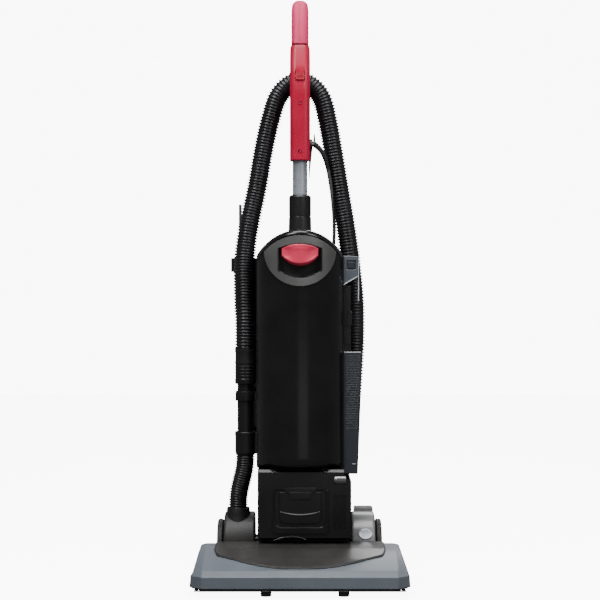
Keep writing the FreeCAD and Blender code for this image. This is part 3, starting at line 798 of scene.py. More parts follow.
def surround_plate():
    """The eye-shaped plate, as a grid between its lower and upper edges."""
    bm = bmesh.new()
    columns, rows = 72, 24
    layers = []
    lower_rise = 0.6300 - SURROUND_LOW
    lower_round = (SURROUND_HALF ** 2 + lower_rise ** 2) / (2 * lower_rise)
    for lift in (0.0002, SURROUND_LIFT):
        layer = []
        for column in range(columns + 1):
            across = -SURROUND_HALF * math.cos(math.pi * column / columns)
            top = arch_height(across, DOOR_HALF, DOOR_SHOULDER, DOOR_TOP) - RIM_WIDE - 0.0016
            foot = SURROUND_LOW + lower_round - math.sqrt(lower_round ** 2 - across ** 2)
            line = []
            for row in range(rows + 1):
                high = foot + (max(top, foot + 0.0004) - foot) * row / rows
                deep = DOOR_CENTRE - math.sqrt((DOOR_ROUND + lift) ** 2 - across ** 2)
                line.append(bm.verts.new((across, deep, high)))
            layer.append(line)
        layers.append(layer)
    for layer in layers:
        for column in range(columns):
            for row in range(rows):
                bm.faces.new((layer[column][row], layer[column + 1][row], layer[column + 1][row + 1],
                              layer[column][row + 1]))
    inner, outer = layers
    for column in range(columns):
        for row in (0, rows):
            bm.faces.new((inner[column][row], inner[column + 1][row], outer[column + 1][row],
                          outer[column][row]))
    for row in range(rows):
        for column in (0, columns):
            bm.faces.new((inner[column][row], inner[column][row + 1], outer[column][row + 1],
                          outer[column][row]))
    return shaped("latch_surround_plate", bm)


surround = surround_plate()
carved(surround, upright_slab("window", lens_outline(POCKET_HALF, POCKET_SIDES, POCKET_ARCH), -0.06, 0.0))
rounded(surround, 0.0008, 2, 50.0)
finished(applied(surround), "door", "bezel_metal",
         brushed_finish("dark_brushed_surround", (0.15, 0.149, 0.147), (0.24, 0.239, 0.236), 0.33),
         "latch_bezel")


# The latch: a thick lens-shaped button of red plastic, crowned in front, with a deep lower lip for
# the fingers. It slides down a few millimetres against its springs to free the door.
latch_red = mottled_finish("latch_red", (0.60, 0.030, 0.075), (0.68, 0.045, 0.098), 0.34, depth=0.04)
LATCH_HALF = 0.0348
latch_outline = lens_outline(LATCH_HALF, (0.6275, 0.6400), (0.6110, 0.6482))
lip_outline = lens_outline(LATCH_HALF, (0.6250, 0.6400), (0.6068, 0.6482))


def bowed(outline, deep, shrink=1.0):
    """An outline laid on the door's curve, at a depth in the middle, drawn in about its centre."""
    return [(across * shrink, deep + 0.5 * across ** 2 / DOOR_ROUND, 0.6300 + (high - 0.6300) * shrink)
            for across, high in outline]


latch = lofted("latch_button", [
    bowed(lip_outline, -0.0180, 0.95), bowed(lip_outline, -0.0300, 0.98), bowed(lip_outline, -0.0365),
    bowed(latch_outline, -0.0405), bowed(latch_outline, -0.0416, 0.985), bowed(latch_outline, -0.0421, 0.90),
    bowed(latch_outline, -0.0424, 0.50)])
finished(latch, "latch", "red", latch_red, "door_latch")


# The rear shell: the gloss black back half of the bag chamber, one deep moulding with a broad
# rounded edge where the door closes on it and round corners behind.
relief("rear_shell", "upright", gloss_black, 0.0026)


# The handle's tube: anodised aluminium, pressed into the shell and gripped by a black collar whose
# upper end is drawn in to the tube.
tube_metal = brushed_finish("anodised_tube", (0.30, 0.33, 0.37), (0.40, 0.43, 0.48), 0.34)
tube_metal.node_tree.nodes["Principled BSDF"].inputs["Metallic"].default_value = 0.55
tube_low, tube_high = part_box("handle_tube")
tube_round = (tube_high[0] - tube_low[0]) / 2
HANDLE_DEEP = (tube_low[1] + tube_high[1]) / 2
tube_tall = tube_high[2] - tube_low[2]
tube = turned("handle_tube_drawn", [(0.0, 0.0125), (0.0, tube_round), (tube_tall, tube_round),
                                    (tube_tall, 0.0125)],
              (0.0, HANDLE_DEEP, tube_low[2]), (0.0, 0.0, 1.0))
finished(tube, "upright", "tube_metal", tube_metal, "handle_tube")
collar_low, collar_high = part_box("handle_collar")
collar_round = collar_high[0]
collar_tall = collar_high[2] - collar_low[2]
collar = turned("handle_collar_nut", [
    (0.0, tube_round + 0.0003), (0.0, collar_round + 0.0003), (0.004, collar_round),
                                      (0.030, collar_round - 0.0006),
    (0.0305, collar_round - 0.0016), (0.0318, collar_round - 0.0016), (0.0323, collar_round - 0.0008),
    (collar_tall - 0.0050, collar_round - 0.0008), (collar_tall - 0.0030, collar_round - 0.0014),
    (collar_tall - 0.0008, collar_round - 0.0030), (collar_tall, collar_round - 0.0042),
    (collar_tall, tube_round + 0.0003)],
    (0.0, HANDLE_DEEP, collar_low[2]), (0.0, 0.0, 1.0))
finished(collar, "upright", "trim_black", satin_black, "handle_collar")

# The rear wheels: a hard black disc with a rounded tread and a spoked, dished hub on a steel pin.
tyre_black = mottled_finish("tyre_rubber", (0.0035, 0.0035, 0.0035), (0.008, 0.008, 0.008), 0.55, depth=0.22)
for side, outward in (("left", -1.0), ("right", 1.0)):
    low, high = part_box(side + "_rear_tyre")
    hub_low, hub_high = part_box(side + "_rear_hub")
    outer = low[0] if outward < 0 else high[0]
    wide = high[0] - low[0]
    tread = (high[2] - low[2]) / 2
    hub_round = (hub_high[2] - hub_low[2]) / 2
    axle = (outer, (low[1] + high[1]) / 2, low[2] + tread)
    inward = (-outward, 0.0, 0.0)
    tyre = turned(side + "_tyre_ring", [
        (0.0012, hub_round), (0.0, hub_round + 0.0012), (0.0, tread - 0.0042), (0.0006, tread - 0.0022),
        (0.0018, tread - 0.0008), (0.0034, tread), (wide / 2 - 0.0008, tread),
                                        (wide / 2 - 0.0004, tread - 0.0007),
        (wide / 2 + 0.0004, tread - 0.0007), (wide / 2 + 0.0008, tread), (wide - 0.0034, tread),
        (wide - 0.0018, tread - 0.0008), (wide - 0.0006, tread - 0.0022), (wide, tread - 0.0042),
        (wide, hub_round + 0.0012), (wide - 0.0012, hub_round)], axle, inward, 96)
    finished(tyre, "rear_" + side + "_wheel", "tyre_rubber", tyre_black, side + "_rear_tyre")
    hub = turned(side + "_wheel_hub", [
        (0.0022, 0.00405), (0.0008, 0.0070), (0.0010, 0.0120), (0.0030, 0.0140), (0.0034, hub_round - 0.010),
        (0.0012, hub_round - 0.006), (0.0010, hub_round), (wide - 0.0010, hub_round),
                                       (wide - 0.0012, hub_round - 0.006),
        (wide - 0.0034, hub_round - 0.010), (wide - 0.0030, 0.0140), (wide - 0.0008, 0.0120),
                                       (wide - 0.0008, 0.00405)],
        axle, inward, 96)
    bm = bmesh.new()
    for spoke in range(6):
        lean = Matrix.Rotation(math.pi / 3 * spoke, 4, "X")
        bmesh.ops.create_cube(bm, size=1.0, matrix=Matrix.Translation(axle) @ lean @ Matrix.Translation(
            (-outward * 0.0030, 0.0, 0.5 * (hub_round + 0.003))) @ Matrix.Diagonal((0.0034, 0.0046,
                                                                                    hub_round - 0.013, 1.0)))
    ribs = shaped(side + "_hub_ribs", bm)
    rounded(ribs, 0.0007, 2, 40.0)
    finished(applied(ribs), "rear_" + side + "_wheel", "trim_black", satin_black)
    finished(hub, "rear_" + side + "_wheel", "trim_black", satin_black, side + "_rear_hub")


# The front rollers: two small moulded nylon rollers, fuller at the middle, under the tray.
for side in ("left", "right"):
    low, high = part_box("front_roller_" + side)
    wide = high[0] - low[0]
    tread = (high[2] - low[2]) / 2
    roller = turned(side + "_roller_drum", [
        (0.0, 0.00255), (0.0, tread - 0.0026), (0.0012, tread - 0.0010), (0.0040, tread - 0.0003),
                                            (wide / 2, tread),
        (wide - 0.0040, tread - 0.0003), (wide - 0.0012, tread - 0.0010), (wide, tread - 0.0026),
                                            (wide, 0.00255)],
        (low[0], (low[1] + high[1]) / 2, low[2] + tread), (1.0, 0.0, 0.0), 64)
    finished(roller, "front_" + side + "_roller", "tyre_rubber", tyre_black, "front_roller_" + side)


# The wand's holder and its cuffs: black moulded sleeves with rolled ends and finger rings, one on
# the body and one on the hose.
wand_low, wand_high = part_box("wand_tube")
WAND_PLACE = ((wand_low[0] + wand_high[0]) / 2, (wand_low[1] + wand_high[1]) / 2)
wand_tall = wand_high[2] - wand_low[2]
wand_round = (wand_high[0] - wand_low[0]) / 2
wand = turned("wand_pipe", [
    (0.0, wand_round - 0.0016), (0.0, wand_round - 0.0004), (0.0004, wand_round),
                            (wand_tall - 0.0004, wand_round),
    (wand_tall, wand_round - 0.0004), (wand_tall, wand_round - 0.0016)], (*WAND_PLACE, wand_low[2]),
              (0.0, 0.0, 1.0))
finished(wand, "wand", "trim_black", satin_black, "wand_tube")
holder_low, holder_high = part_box("wand_holder")
holder_foot = turned("holder_cup", [
    (0.0, 0.0135), (0.0, 0.0176), (0.0018, 0.0192), (0.006, 0.0199), (0.036, 0.0199), (0.0385, 0.0206),
    (0.0430, 0.0206), (0.0450, 0.0196), (0.0450, wand_round + 0.0004), (0.0062, wand_round + 0.0004),
    (0.0062, 0.0135)], (*WAND_PLACE, holder_low[2]), (0.0, 0.0, 1.0))
finished(holder_foot, "upright", "trim_black", satin_black, "wand_holder")
holder_ring = turned("holder_ring", [
    (0.0, wand_round + 0.0004), (0.0, 0.0182), (0.0012, 0.0194), (0.0178, 0.0194), (0.019, 0.0182),
    (0.019, wand_round + 0.0004)], (*WAND_PLACE, 0.345), (0.0, 0.0, 1.0))
finished(holder_ring, "upright", "trim_black", satin_black)
for label, foot, top in (("lower", 0.2415, 0.2835), ("upper", 0.3465, 0.3625)):
    arm = lofted("holder_arm_" + label, [[(across, 0.0505, foot), (across, 0.0655, foot),
                                          (across, 0.0655, top),
                                          (across, 0.0505, top)] for across in (-0.0990, -0.0840)])
    carved(arm, turned("arm_way", [(0.0, 0.0), (0.0, wand_round + 0.0004), (0.15, wand_round + 0.0004),
                                   (0.15, 0.0)],
                       (*WAND_PLACE, 0.2), (0.0, 0.0, 1.0)))
    rounded(arm, 0.0012, 2, 50.0)
    finished(applied(arm), "upright", "trim_black", satin_black)

cuff_low, cuff_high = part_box("hose_cuff")
cuff_tall = cuff_high[2] - cuff_low[2]
cuff_outline = [(0.0, wand_round + 0.0003), (0.0, 0.0192), (0.0010, 0.0204), (0.0090, 0.0206)]
for ring in range(5):
    foot = 0.0100 + ring * 0.0062
    cuff_outline += [(foot, 0.0205), (foot + 0.0008, 0.0196), (foot + 0.0036, 0.0196),
                     (foot + 0.0044, 0.0205)]
cuff_outline += [(0.0440, 0.0206), (0.0450, 0.0198), (cuff_tall - 0.0100, 0.0196),
                 (cuff_tall - 0.0090, 0.0206),
                 (cuff_tall - 0.0012, 0.0206), (cuff_tall, 0.0196), (cuff_tall, 0.0136), (0.0222, 0.0136),
                 (0.0222, wand_round + 0.0003)]
cuff = turned("hose_cuff_sleeve", cuff_outline, (*WAND_PLACE, cuff_low[2]), (0.0, 0.0, 1.0))
finished(cuff, "wand", "trim_black", satin_black, "hose_cuff")


# The socket on the foot and the inlet on the body: black cups with rolled rims that the two ends
# of the hoses are pushed into.
socket_low, socket_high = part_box("hose_socket")
socket_place = ((socket_low[0] + socket_high[0]) / 2, (socket_low[1] + socket_high[1]) / 2)
socket_tall = socket_high[2] - socket_low[2]
socket = turned("foot_hose_socket", [
    (0.0, 0.0161), (0.0, 0.0200), (socket_tall - 0.024, 0.0200), (socket_tall - 0.020, 0.0203),
    (socket_tall - 0.0105, 0.0206), (socket_tall - 0.0085, 0.0222), (socket_tall - 0.0012, 0.0224),
    (socket_tall, 0.0214), (socket_tall, 0.0176), (socket_tall - 0.001, 0.0161)],
    (*socket_place, socket_low[2]), (0.0, 0.0, 1.0))
finished(socket, "foot", "trim_black", satin_black, "hose_socket")
neck = turned("flared_neck", [(0.0, 0.0206), (0.0, 0.0290), (0.0040, 0.0282), (0.0120, 0.0256),
                              (0.0220, 0.0232),
                              (0.0300, 0.0224), (0.0300, 0.0206)], (*socket_place, 0.1040), (0.0, 0.0, 1.0))
finished(neck, "foot", "trim_black", satin_black)


# The grip: two red mouldings on the tube. The upper one is drawn back and rounded over, and the
# lower one holds the switch, two screws and the cord's clip.
grip_red = mottled_finish("red_grip_plastic", (0.34, 0.004, 0.026), (0.40, 0.007, 0.038), 0.34, depth=0.05,
                          specular=0.25)
grip_pale = mottled_finish("red_grip_top", (0.46, 0.020, 0.080), (0.52, 0.028, 0.104), 0.50, depth=0.05,
                           specular=0.22)


def stacked(name, sections, corner_steps=7):
    """A solid through level rounded rectangles, each (height, half width, front, back, corner)."""
    rings = []
    for high, half, front, back, corner in sections:
        ring = []
        for turn, (across, deep) in enumerate(((half - corner, front + corner),
                                               (half - corner, back - corner),
                                               (corner - half, back - corner),
                                               (corner - half, front + corner))):
            for step in range(corner_steps + 1):
                angle = math.pi / 2 * (turn - 1 + step / corner_steps)
                ring.append((across + corner * math.cos(angle), deep + corner * math.sin(angle), high))
        rings.append(ring)
    return lofted(name, rings)


lower_low, lower_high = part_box("grip_lower")
upper_low, upper_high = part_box("grip_upper")
GRIP_HALF = 0.0199
HEAD_HALF = 0.0170
SEAM = upper_low[2]
GRIP_FOOT = lower_low[2]
lower_grip = stacked("grip_lower_moulding", [
    (GRIP_FOOT, GRIP_HALF - 0.0016, 0.0496, 0.0874, 0.0110), (GRIP_FOOT + 0.0006, GRIP_HALF - 0.0005, 0.0485,
                                                              0.0885, 0.0120),
    (GRIP_FOOT + 0.0020, GRIP_HALF, 0.0480, 0.0890, 0.0125), (0.940, GRIP_HALF, 0.0480, 0.0890, 0.0125),
    (0.985, GRIP_HALF, 0.0500, 0.0890, 0.0125), (1.003, GRIP_HALF, 0.0552, 0.0895, 0.0125),
    (1.020, GRIP_HALF, 0.0612, 0.0985, 0.0125), (1.036, GRIP_HALF - 0.0004, 0.0668, 0.1072, 0.0125),
    (SEAM - 0.0036, GRIP_HALF - 0.0010, 0.0694, 0.1104, 0.0125),
                                             (SEAM - 0.0014, GRIP_HALF - 0.0018, 0.0702, 0.1108, 0.0120),
    (SEAM - 0.0008, GRIP_HALF - 0.0030, 0.0712, 0.1100, 0.0110)])
carved(lower_grip, turned("tube_way", [(0.0, 0.0), (0.0, tube_round + 0.0002), (0.201, tube_round + 0.0002),
                                       (0.201, 0.0)],
                          (0.0, HANDLE_DEEP, 0.800), (0.0, 0.0, 1.0)))
carved(lower_grip, upright_slab("switch_well", [(-0.0090, 0.9714), (0.0090, 0.9714), (0.0090, 0.9876),
                                                (-0.0090, 0.9876)],
                                0.040, 0.0555))
for high in (0.926, 0.832):
    carved(lower_grip, turned("screw_well", [(0.0, 0.0), (0.0, 0.0038), (0.0070, 0.0034), (0.0070, 0.0)],
                              (0.0, 0.0450, high), (0.0, 1.0, 0.0), 40))
for side in (-1.0, 1.0):
    seam_cut = lofted("seam_cut", [[(side * (GRIP_HALF - 0.0006), 0.0725, high),
                                    (side * (GRIP_HALF + 0.001), 0.0720, high),
                                    (side * (GRIP_HALF + 0.001), 0.0735,
                                     high)] for high in (GRIP_FOOT - 0.001, 1.004)])
    carved(lower_grip, seam_cut)
finished(lower_grip, "upright", "red", grip_red, "grip_lower")
upper_grip = stacked("grip_upper_moulding", [
    (SEAM + 0.0012, HEAD_HALF - 0.0012, 0.0718, 0.1110, 0.0105),
                                             (SEAM + 0.0020, HEAD_HALF - 0.0004, 0.0712, 0.1124, 0.0110),
    (SEAM + 0.0040, HEAD_HALF, 0.0714, 0.1138, 0.0115), (1.066, HEAD_HALF, 0.0762, 0.1200, 0.0120),
    (1.085, HEAD_HALF, 0.0815, 0.1258, 0.0120), (1.098, HEAD_HALF, 0.0856, 0.1272, 0.0120),
    (1.112, HEAD_HALF, 0.0905, 0.1262, 0.0120), (1.121, HEAD_HALF - 0.0002, 0.0945, 0.1252, 0.0120),
    (1.128, HEAD_HALF - 0.0010, 0.0980, 0.1240, 0.0110), (1.1320, HEAD_HALF - 0.0024, 0.1010, 0.1228, 0.0095),
    (1.1352, HEAD_HALF - 0.0048, 0.1042, 0.1212, 0.0075), (1.1372, HEAD_HALF - 0.0078, 0.1070, 0.1196,
                                                           0.0055),
    (upper_high[2] - 0.0001, HEAD_HALF - 0.0105, 0.1094, 0.1176, 0.0036)])
groove = lofted("parting_groove", [[(-0.0004, 0.0, high), (0.0004, 0.0, high), (0.0004, front, high),
                                    (-0.0004, front, high)]
                                   for high, front in ((SEAM - 0.001, 0.0712), (1.066, 0.0767),
                                                       (1.085, 0.0820),
                                                       (1.112, 0.0910), (1.128, 0.0990))])
carved(upper_grip, groove)
finished(upper_grip, "upright", "red", grip_pale, "grip_upper")
# A black band inside the seam between the two mouldings: painted shadow in the gap.
seam_band = stacked("grip_seam_shadow", [
    (SEAM - 0.0014, HEAD_HALF - 0.0010, 0.0722, 0.1096, 0.0100),
                                         (SEAM + 0.0018, HEAD_HALF - 0.0010, 0.0724, 0.1106, 0.0100)])
finished(seam_band, "upright", "soft_rubber", gasket_black)

# The rocker switch: a small red rocker with finger ribs, on a pin across its well.
rocker = upright_slab("rocker_block", [(-0.0084, 0.9722), (0.0084, 0.9722), (0.0084, 0.9868),
                                       (-0.0084, 0.9868)],
                      0.0468, 0.0544)
for rib in range(5):
    high = 0.9746 + rib * 0.0024
    carved(rocker, upright_slab("rib_gap", [(-0.0068, high), (0.0068, high), (0.0068, high + 0.0010),
                                            (-0.0068, high + 0.0010)], 0.0460, 0.0474))
rounded(rocker, 0.0005, 2, 50.0)
switch_red = mottled_finish("switch_red", (0.36, 0.005, 0.020), (0.43, 0.009, 0.028), 0.42, depth=0.05)
finished(applied(rocker), "switch", "red", switch_red, "power_switch")
switch_pin = turned("switch_pin", [(0.0, 0.0), (0.0, 0.0018), (0.0004, 0.0020), (0.0172, 0.0020),
                                   (0.0176, 0.0018),
                                   (0.0176, 0.0)], (-0.0088, 0.0520, 0.9795), (1.0, 0.0, 0.0), 32)
steel_dark = mottled_finish("painted_screw_steel", (0.30, 0.02, 0.045), (0.38, 0.03, 0.06), 0.35, depth=0.05,
                            metallic=0.4)
steel_bright = mottled_finish("turned_steel", (0.36, 0.36, 0.36), (0.50, 0.50, 0.50), 0.3, depth=0.05,
                              metallic=1.0)
finished(switch_pin, "switch", "steel", steel_bright)
for label, high in (("upper", 0.926), ("lower", 0.832)):
    screw = turned("grip_screw_" + label, [(0.0, 0.0), (0.0, 0.0026), (0.0006, 0.0030), (0.0052, 0.0030),
                                           (0.0052, 0.0)],
                   (0.0, 0.0488, high), (0.0, 1.0, 0.0), 40)
    for lean in (0.0, math.pi / 2):
        slot = lofted("cross_slot", [[(math.cos(lean) * a - math.sin(lean) * b, deep,
                                       high + math.sin(lean) * a + math.cos(lean) * b)
                                      for a, b in ((-0.0018, -0.0003), (0.0018, -0.0003), (0.0018, 0.0003),
                                                   (-0.0018, 0.0003))]
                                     for deep in (0.0480, 0.0500)])
        carved(screw, slot)
    finished(screw, "upright", "steel", steel_dark, *(["grip_screws"] if label == "upper" else []))

# The hose keeper: a black moulded bracket on the shell's left rib, with a grey upright tongue that
# keeps the hose from falling away from the body.
keeper = upright_slab("hose_keeper", [(-0.0850, 0.598), (-0.0850, 0.626), (-0.1380, 0.626), (-0.1380, 0.598)],
                      0.1186, 0.1255)
rounded(keeper, 0.0010, 2, 50.0)
finished(applied(keeper), "upright", "trim_black", satin_black)
tongue = upright_slab("hose_keeper_tongue", [(-0.1165, 0.622), (-0.1165, 0.733), (-0.1225, 0.733),
                                             (-0.1225, 0.622)],
                      0.1215, 0.1250)
rounded(tongue, 0.0008, 2, 50.0)
keeper_grey = mottled_finish("keeper_grey", (0.045, 0.046, 0.048), (0.065, 0.066, 0.068), 0.45, depth=0.08)
finished(applied(tongue), "upright", "trim_black", keeper_grey)


# The cord's clip: a dark bracket on the grip's right flank with a thin upturned finger. The cord
# leaves it through a tapering rubber sleeve.
clip = stacked("cord_clip_bracket", [(0.8365, 0.0029, 0.0625, 0.0795, 0.0012),
                                     (0.8575, 0.0029, 0.0625, 0.0795, 0.0012)])
clip.data.transform(Matrix.Translation((0.0218, 0.0, 0.0)))
finished(clip, "upright", "trim_black", satin_black)
finger = swept("cord_clip_finger", [Vector(place) for place in (
    (0.0215, 0.064, 0.8480), (0.0250, 0.064, 0.8478), (0.0276, 0.064, 0.8490), (0.0284, 0.064, 0.8525),
    (0.0284, 0.064, 0.8600), (0.0280, 0.064, 0.8676))], [0.0022, 0.0022, 0.0022, 0.0021, 0.0019, 0.0012], 16)
finger_grey = mottled_finish("grey_finger", (0.075, 0.090, 0.082), (0.105, 0.122, 0.112), 0.45, depth=0.1)
tail = swept("cord_clip_tail", [Vector(place) for place in ((0.0215, 0.070, 0.8400), (0.0205, 0.070, 0.8250),
                                                            (0.0190, 0.070, 0.8050),
                                                            (0.0180, 0.070, 0.7820))],
             [0.0030, 0.0027, 0.0018, 0.0006], 16)
finished(tail, "upright", "trim_black", satin_black)
finished(finger, "upright", "cord_grey", finger_grey)
sleeve_line = route_points([place for place in CORD_ROUTE[:5]], 0.0016)
sleeve_line = [place for place in sleeve_line if place.z > 0.800]
sleeve = swept("cord_sleeve", sleeve_line, [
    0.0058 - 0.0020 * spot / len(sleeve_line) - (0.0006 if spot % 3 == 2 and spot > 6 else 0.0)
    for spot in range(len(sleeve_line))], 28)
finished(sleeve, "upright", "soft_rubber", gasket_black)


# The housing's front cover: a gloss black plate with a deep U-shaped groove, an inner panel with two steps at
# its head and a thin raised lip that smiles across it, coloured pale grey as a painted highlight.
cover_low, cover_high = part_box("front_cover")
COVER_FACE = cover_low[1]


def u_outline(half, foot, top, corner, middle=0.0005, steps=8):
    """Upright sides with two round lower corners, as (across, up) points."""
    points = [(middle + half, top)]
    for lean in (1.0, -1.0):
        for step in range(steps + 1):
            angle = math.pi / 2 * step / steps if lean > 0 else math.pi / 2 * (1 - step / steps)
            points.append((middle + lean * (half - corner + corner * math.cos(angle)),
                           foot + corner - corner * math.sin(angle)))
    points.append((middle - half, top))
    return points


cover = upright_slab("front_cover_plate", u_outline(0.0530, cover_low[2] + 0.0004, cover_high[2] + 0.006,
                                                    0.009, 0.0010),
                     COVER_FACE, cover_high[1] - 0.0002)
carved(cover, upright_slab("groove", u_outline(0.0495, 0.1085, 0.2, 0.014), COVER_FACE - 0.01,
                           COVER_FACE + 0.0024))
rounded(cover, 0.0010, 3, 40.0)
finished(applied(cover), "upright", "trim_black", gloss_black, "front_cover")
inner_panel = upright_slab("front_inner_panel", u_outline(0.0400, 0.1160, 0.1760, 0.012), COVER_FACE - 0.0006,
                           COVER_FACE + 0.0026)
rounded(inner_panel, 0.0012, 3, 40.0)
finished(applied(inner_panel), "upright", "trim_black", gloss_black)
for label, half, foot, top, rise in (("lower", 0.0215, 0.1620, 0.1765, 0.0016),
                                     ("upper", 0.0300, 0.1745, 0.1850, 0.0010)):
    step = upright_slab("panel_step_" + label, u_outline(half, foot, top, 0.004), COVER_FACE - 0.0006 - rise,
                        COVER_FACE + 0.0010)
    rounded(step, 0.0008, 2, 40.0)
    finished(applied(step), "upright", "trim_black", gloss_black)
# The lip's pale grey is a painted highlight along its top.
smile = swept("panel_lip", [Vector((0.0380 * share, COVER_FACE - 0.0010,
                                    0.1335 + 0.0062 * share ** 2 - 0.0006))
                            for share in (step / 14 - 1.0 for step in range(29))],
              [0.0004 + 0.0012 * math.sin(math.pi * min(max(step / 28, 0.02),
                                                        0.98)) ** 0.5 for step in range(29)], 14)
lip_painted_highlight = mottled_finish("lip_painted_highlight", (0.060, 0.060, 0.060), (0.085, 0.085, 0.085), 0.25, depth=0.02)
finished(smile, "upright", "trim_black", lip_painted_highlight)


# The motor housing: a gloss black box round the suction motor, with a row of upright cooling ribs
# on its right and a short silver spindle cap above them.
relief("motor_housing", "upright", gloss_black, 0.0016)
HOUSING_FACE = -0.0222
for rib in range(9):
    across = 0.0640 + rib * 0.0027
    fin = upright_slab("cooling_rib", [(across, 0.1060), (across + 0.0012, 0.1060), (across + 0.0012, 0.1720),
                                       (across, 0.1720)], HOUSING_FACE - 0.0012, HOUSING_FACE + 0.0006)
    rounded(fin, 0.0004, 1, 40.0)
    finished(applied(fin), "upright", "trim_black", satin_black)
cap_metal = mottled_finish("spindle_cap", (0.15, 0.15, 0.15), (0.23, 0.23, 0.23), 0.28, depth=0.05,
                           metallic=0.9)
spindle = turned("spindle_cap", [(0.0, 0.0), (0.0, 0.0066), (0.0008, 0.0078), (0.0030, 0.0082),
                                 (0.0036, 0.0078),
                                 (0.0046, 0.0078), (0.0052, 0.0082), (0.0218, 0.0082), (0.0228, 0.0074),
                                 (0.0228, 0.0)],
                 (0.0650, -0.0180, 0.1985), (1.0, 0.0, 0.0), 64)
finished(spindle, "upright", "steel", cap_metal)
# A thin pale-grey bead arched across the housing's face: a painted highlight line.
arc_line = [Vector((-0.0190 + 0.0320 * share, -0.0228,
                    0.0905 - 0.0070 * share ** 2 + (0.0012 if share > 0 else 0.0)))
            for share in (step / 12 - 1.0 for step in range(25))]
arc = swept("housing_bead", arc_line, [0.0007] * 25, 12)
finished(arc, "upright", "trim_black", lip_painted_highlight)


# The side panel: a cushion of slate-grey plastic on the body's right shoulder, with a plain square button let
# into it and a pale strip down its outer edge, coloured as a painted highlight.
slate = mottled_finish("slate_grey_cover", (0.060, 0.070, 0.085), (0.082, 0.094, 0.112), 0.36, depth=0.06)
slate_dark = mottled_finish("slate_dark_cover", (0.014, 0.017, 0.024), (0.022, 0.026, 0.034), 0.38,
                            depth=0.06)
pale_edge = mottled_finish("pale_edge_strip", (0.48, 0.52, 0.56), (0.60, 0.64, 0.68), 0.35, depth=0.04)
panel_low, panel_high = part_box("side_panel")
PANEL_FACE = panel_low[1]
panel = upright_slab("side_panel_cushion", [(panel_low[0], panel_low[2]), (panel_high[0], 0.5885),
                                            (panel_high[0], 0.6265),
                                            (panel_low[0], panel_high[2])], PANEL_FACE, panel_high[1])
carved(panel, upright_slab("button_well", [(0.0905, 0.6010), (0.1085, 0.6010), (0.1085, 0.6180),
                                           (0.0905, 0.6180)],
                           PANEL_FACE - 0.01, PANEL_FACE + 0.0030))
rounded(panel, 0.0022, 3, 30.0)
finished(applied(panel), "upright", "slate_grey", slate, "side_panel")
button = upright_slab("square_button", [(0.0925, 0.6030), (0.1065, 0.6030), (0.1065, 0.6160),
                                        (0.0925, 0.6160)],
                      PANEL_FACE - 0.0004, PANEL_FACE + 0.0034)
rounded(button, 0.0012, 2, 30.0)
finished(applied(button), "upright", "slate_grey", slate_dark)
under_edge = upright_slab("panel_under_edge", [(panel_low[0] + 0.0004, panel_low[2] - 0.0016),
                                               (panel_high[0] - 0.0010, 0.5868),
                                               (panel_high[0] - 0.0010, 0.5888),
                                               (panel_low[0] + 0.0004, panel_low[2] + 0.0010)],
                          PANEL_FACE - 0.0012, PANEL_FACE + 0.0200)
rounded(under_edge, 0.0005, 2, 30.0)
finished(applied(under_edge), "upright", "slate_grey", pale_edge)
# The pale strip on the outer edge is a painted highlight.
strip = upright_slab("outer_strip_painted_highlight", [(panel_high[0] - 0.0004, 0.5400), (panel_high[0] + 0.0012, 0.5400),
                                     (panel_high[0] + 0.0012, 0.6240), (panel_high[0] - 0.0004, 0.6240)],
                     PANEL_FACE + 0.0010, PANEL_FACE + 0.0060)
rounded(strip, 0.0003, 1, 30.0)
finished(applied(strip), "upright", "slate_grey", pale_edge)
for label, outline in (("plate", [(0.0845, 0.4560), (0.0985, 0.4560), (0.0985, 0.5690), (0.0845, 0.5690)]),
                       ("clip", [(0.0880, 0.4900), (0.1010, 0.4930), (0.1010, 0.5180), (0.0930, 0.5240)])):
    cover_bit = upright_slab("rib_" + label, outline, 0.0250 if label == "clip" else 0.0268, 0.0300)
    rounded(cover_bit, 0.0010, 2, 30.0)
    finished(applied(cover_bit), "upright", "trim_black", satin_black)


# The exhaust filter's cover: a tapering column in very dark slate, with a grid of fine slots over
# its upper part, a smooth lower part and a bright line along its head.
column_low, column_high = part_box("filter_cover")
COLUMN_FACE = column_low[1]
column = relief("filter_cover", "upright", slate_dark, 0.0022)


def column_edge(high):
    """The column's outer edge at a height."""
    return 0.112 + 0.009 * (high - 0.205) / 0.231


grid = bmesh.new()
for row in range(44):
    high = 0.2920 + row * 0.0033
    bmesh.ops.create_cube(grid, size=1.0, matrix=Matrix.Translation((
        (0.0885 + column_edge(high) - 0.0045) / 2, COLUMN_FACE - 0.0002, high)) @ Matrix.Diagonal((
            column_edge(high) - 0.0045 - 0.0885, 0.0012, 0.0013, 1.0)))
for line in range(9):
    across = 0.0890 + line * 0.0030
    bmesh.ops.create_cube(grid, size=1.0, matrix=Matrix.Translation((across, COLUMN_FACE - 0.0001, 0.3630))
                          @ Matrix.Diagonal((0.0009, 0.0011, 0.1440, 1.0)))
grid_piece = shaped("filter_grid", grid, False)
finished(grid_piece, "upright", "slate_grey", slate_dark)
head_line = upright_slab("column_head_line", [(0.0860, 0.4398), (0.1180, 0.4398), (0.1168, 0.4414),
                                              (0.0860, 0.4414)],
                         COLUMN_FACE - 0.0008, COLUMN_FACE + 0.0100)
rounded(head_line, 0.0003, 1, 30.0)
finished(applied(head_line), "upright", "slate_grey", pale_edge)
dash = upright_slab("column_dash", [(0.1010, 0.2240), (0.1075, 0.2240), (0.1075, 0.2252), (0.1010, 0.2252)],
                    COLUMN_FACE - 0.0005, COLUMN_FACE + 0.0005)
finished(dash, "upright", "slate_grey", pale_edge)


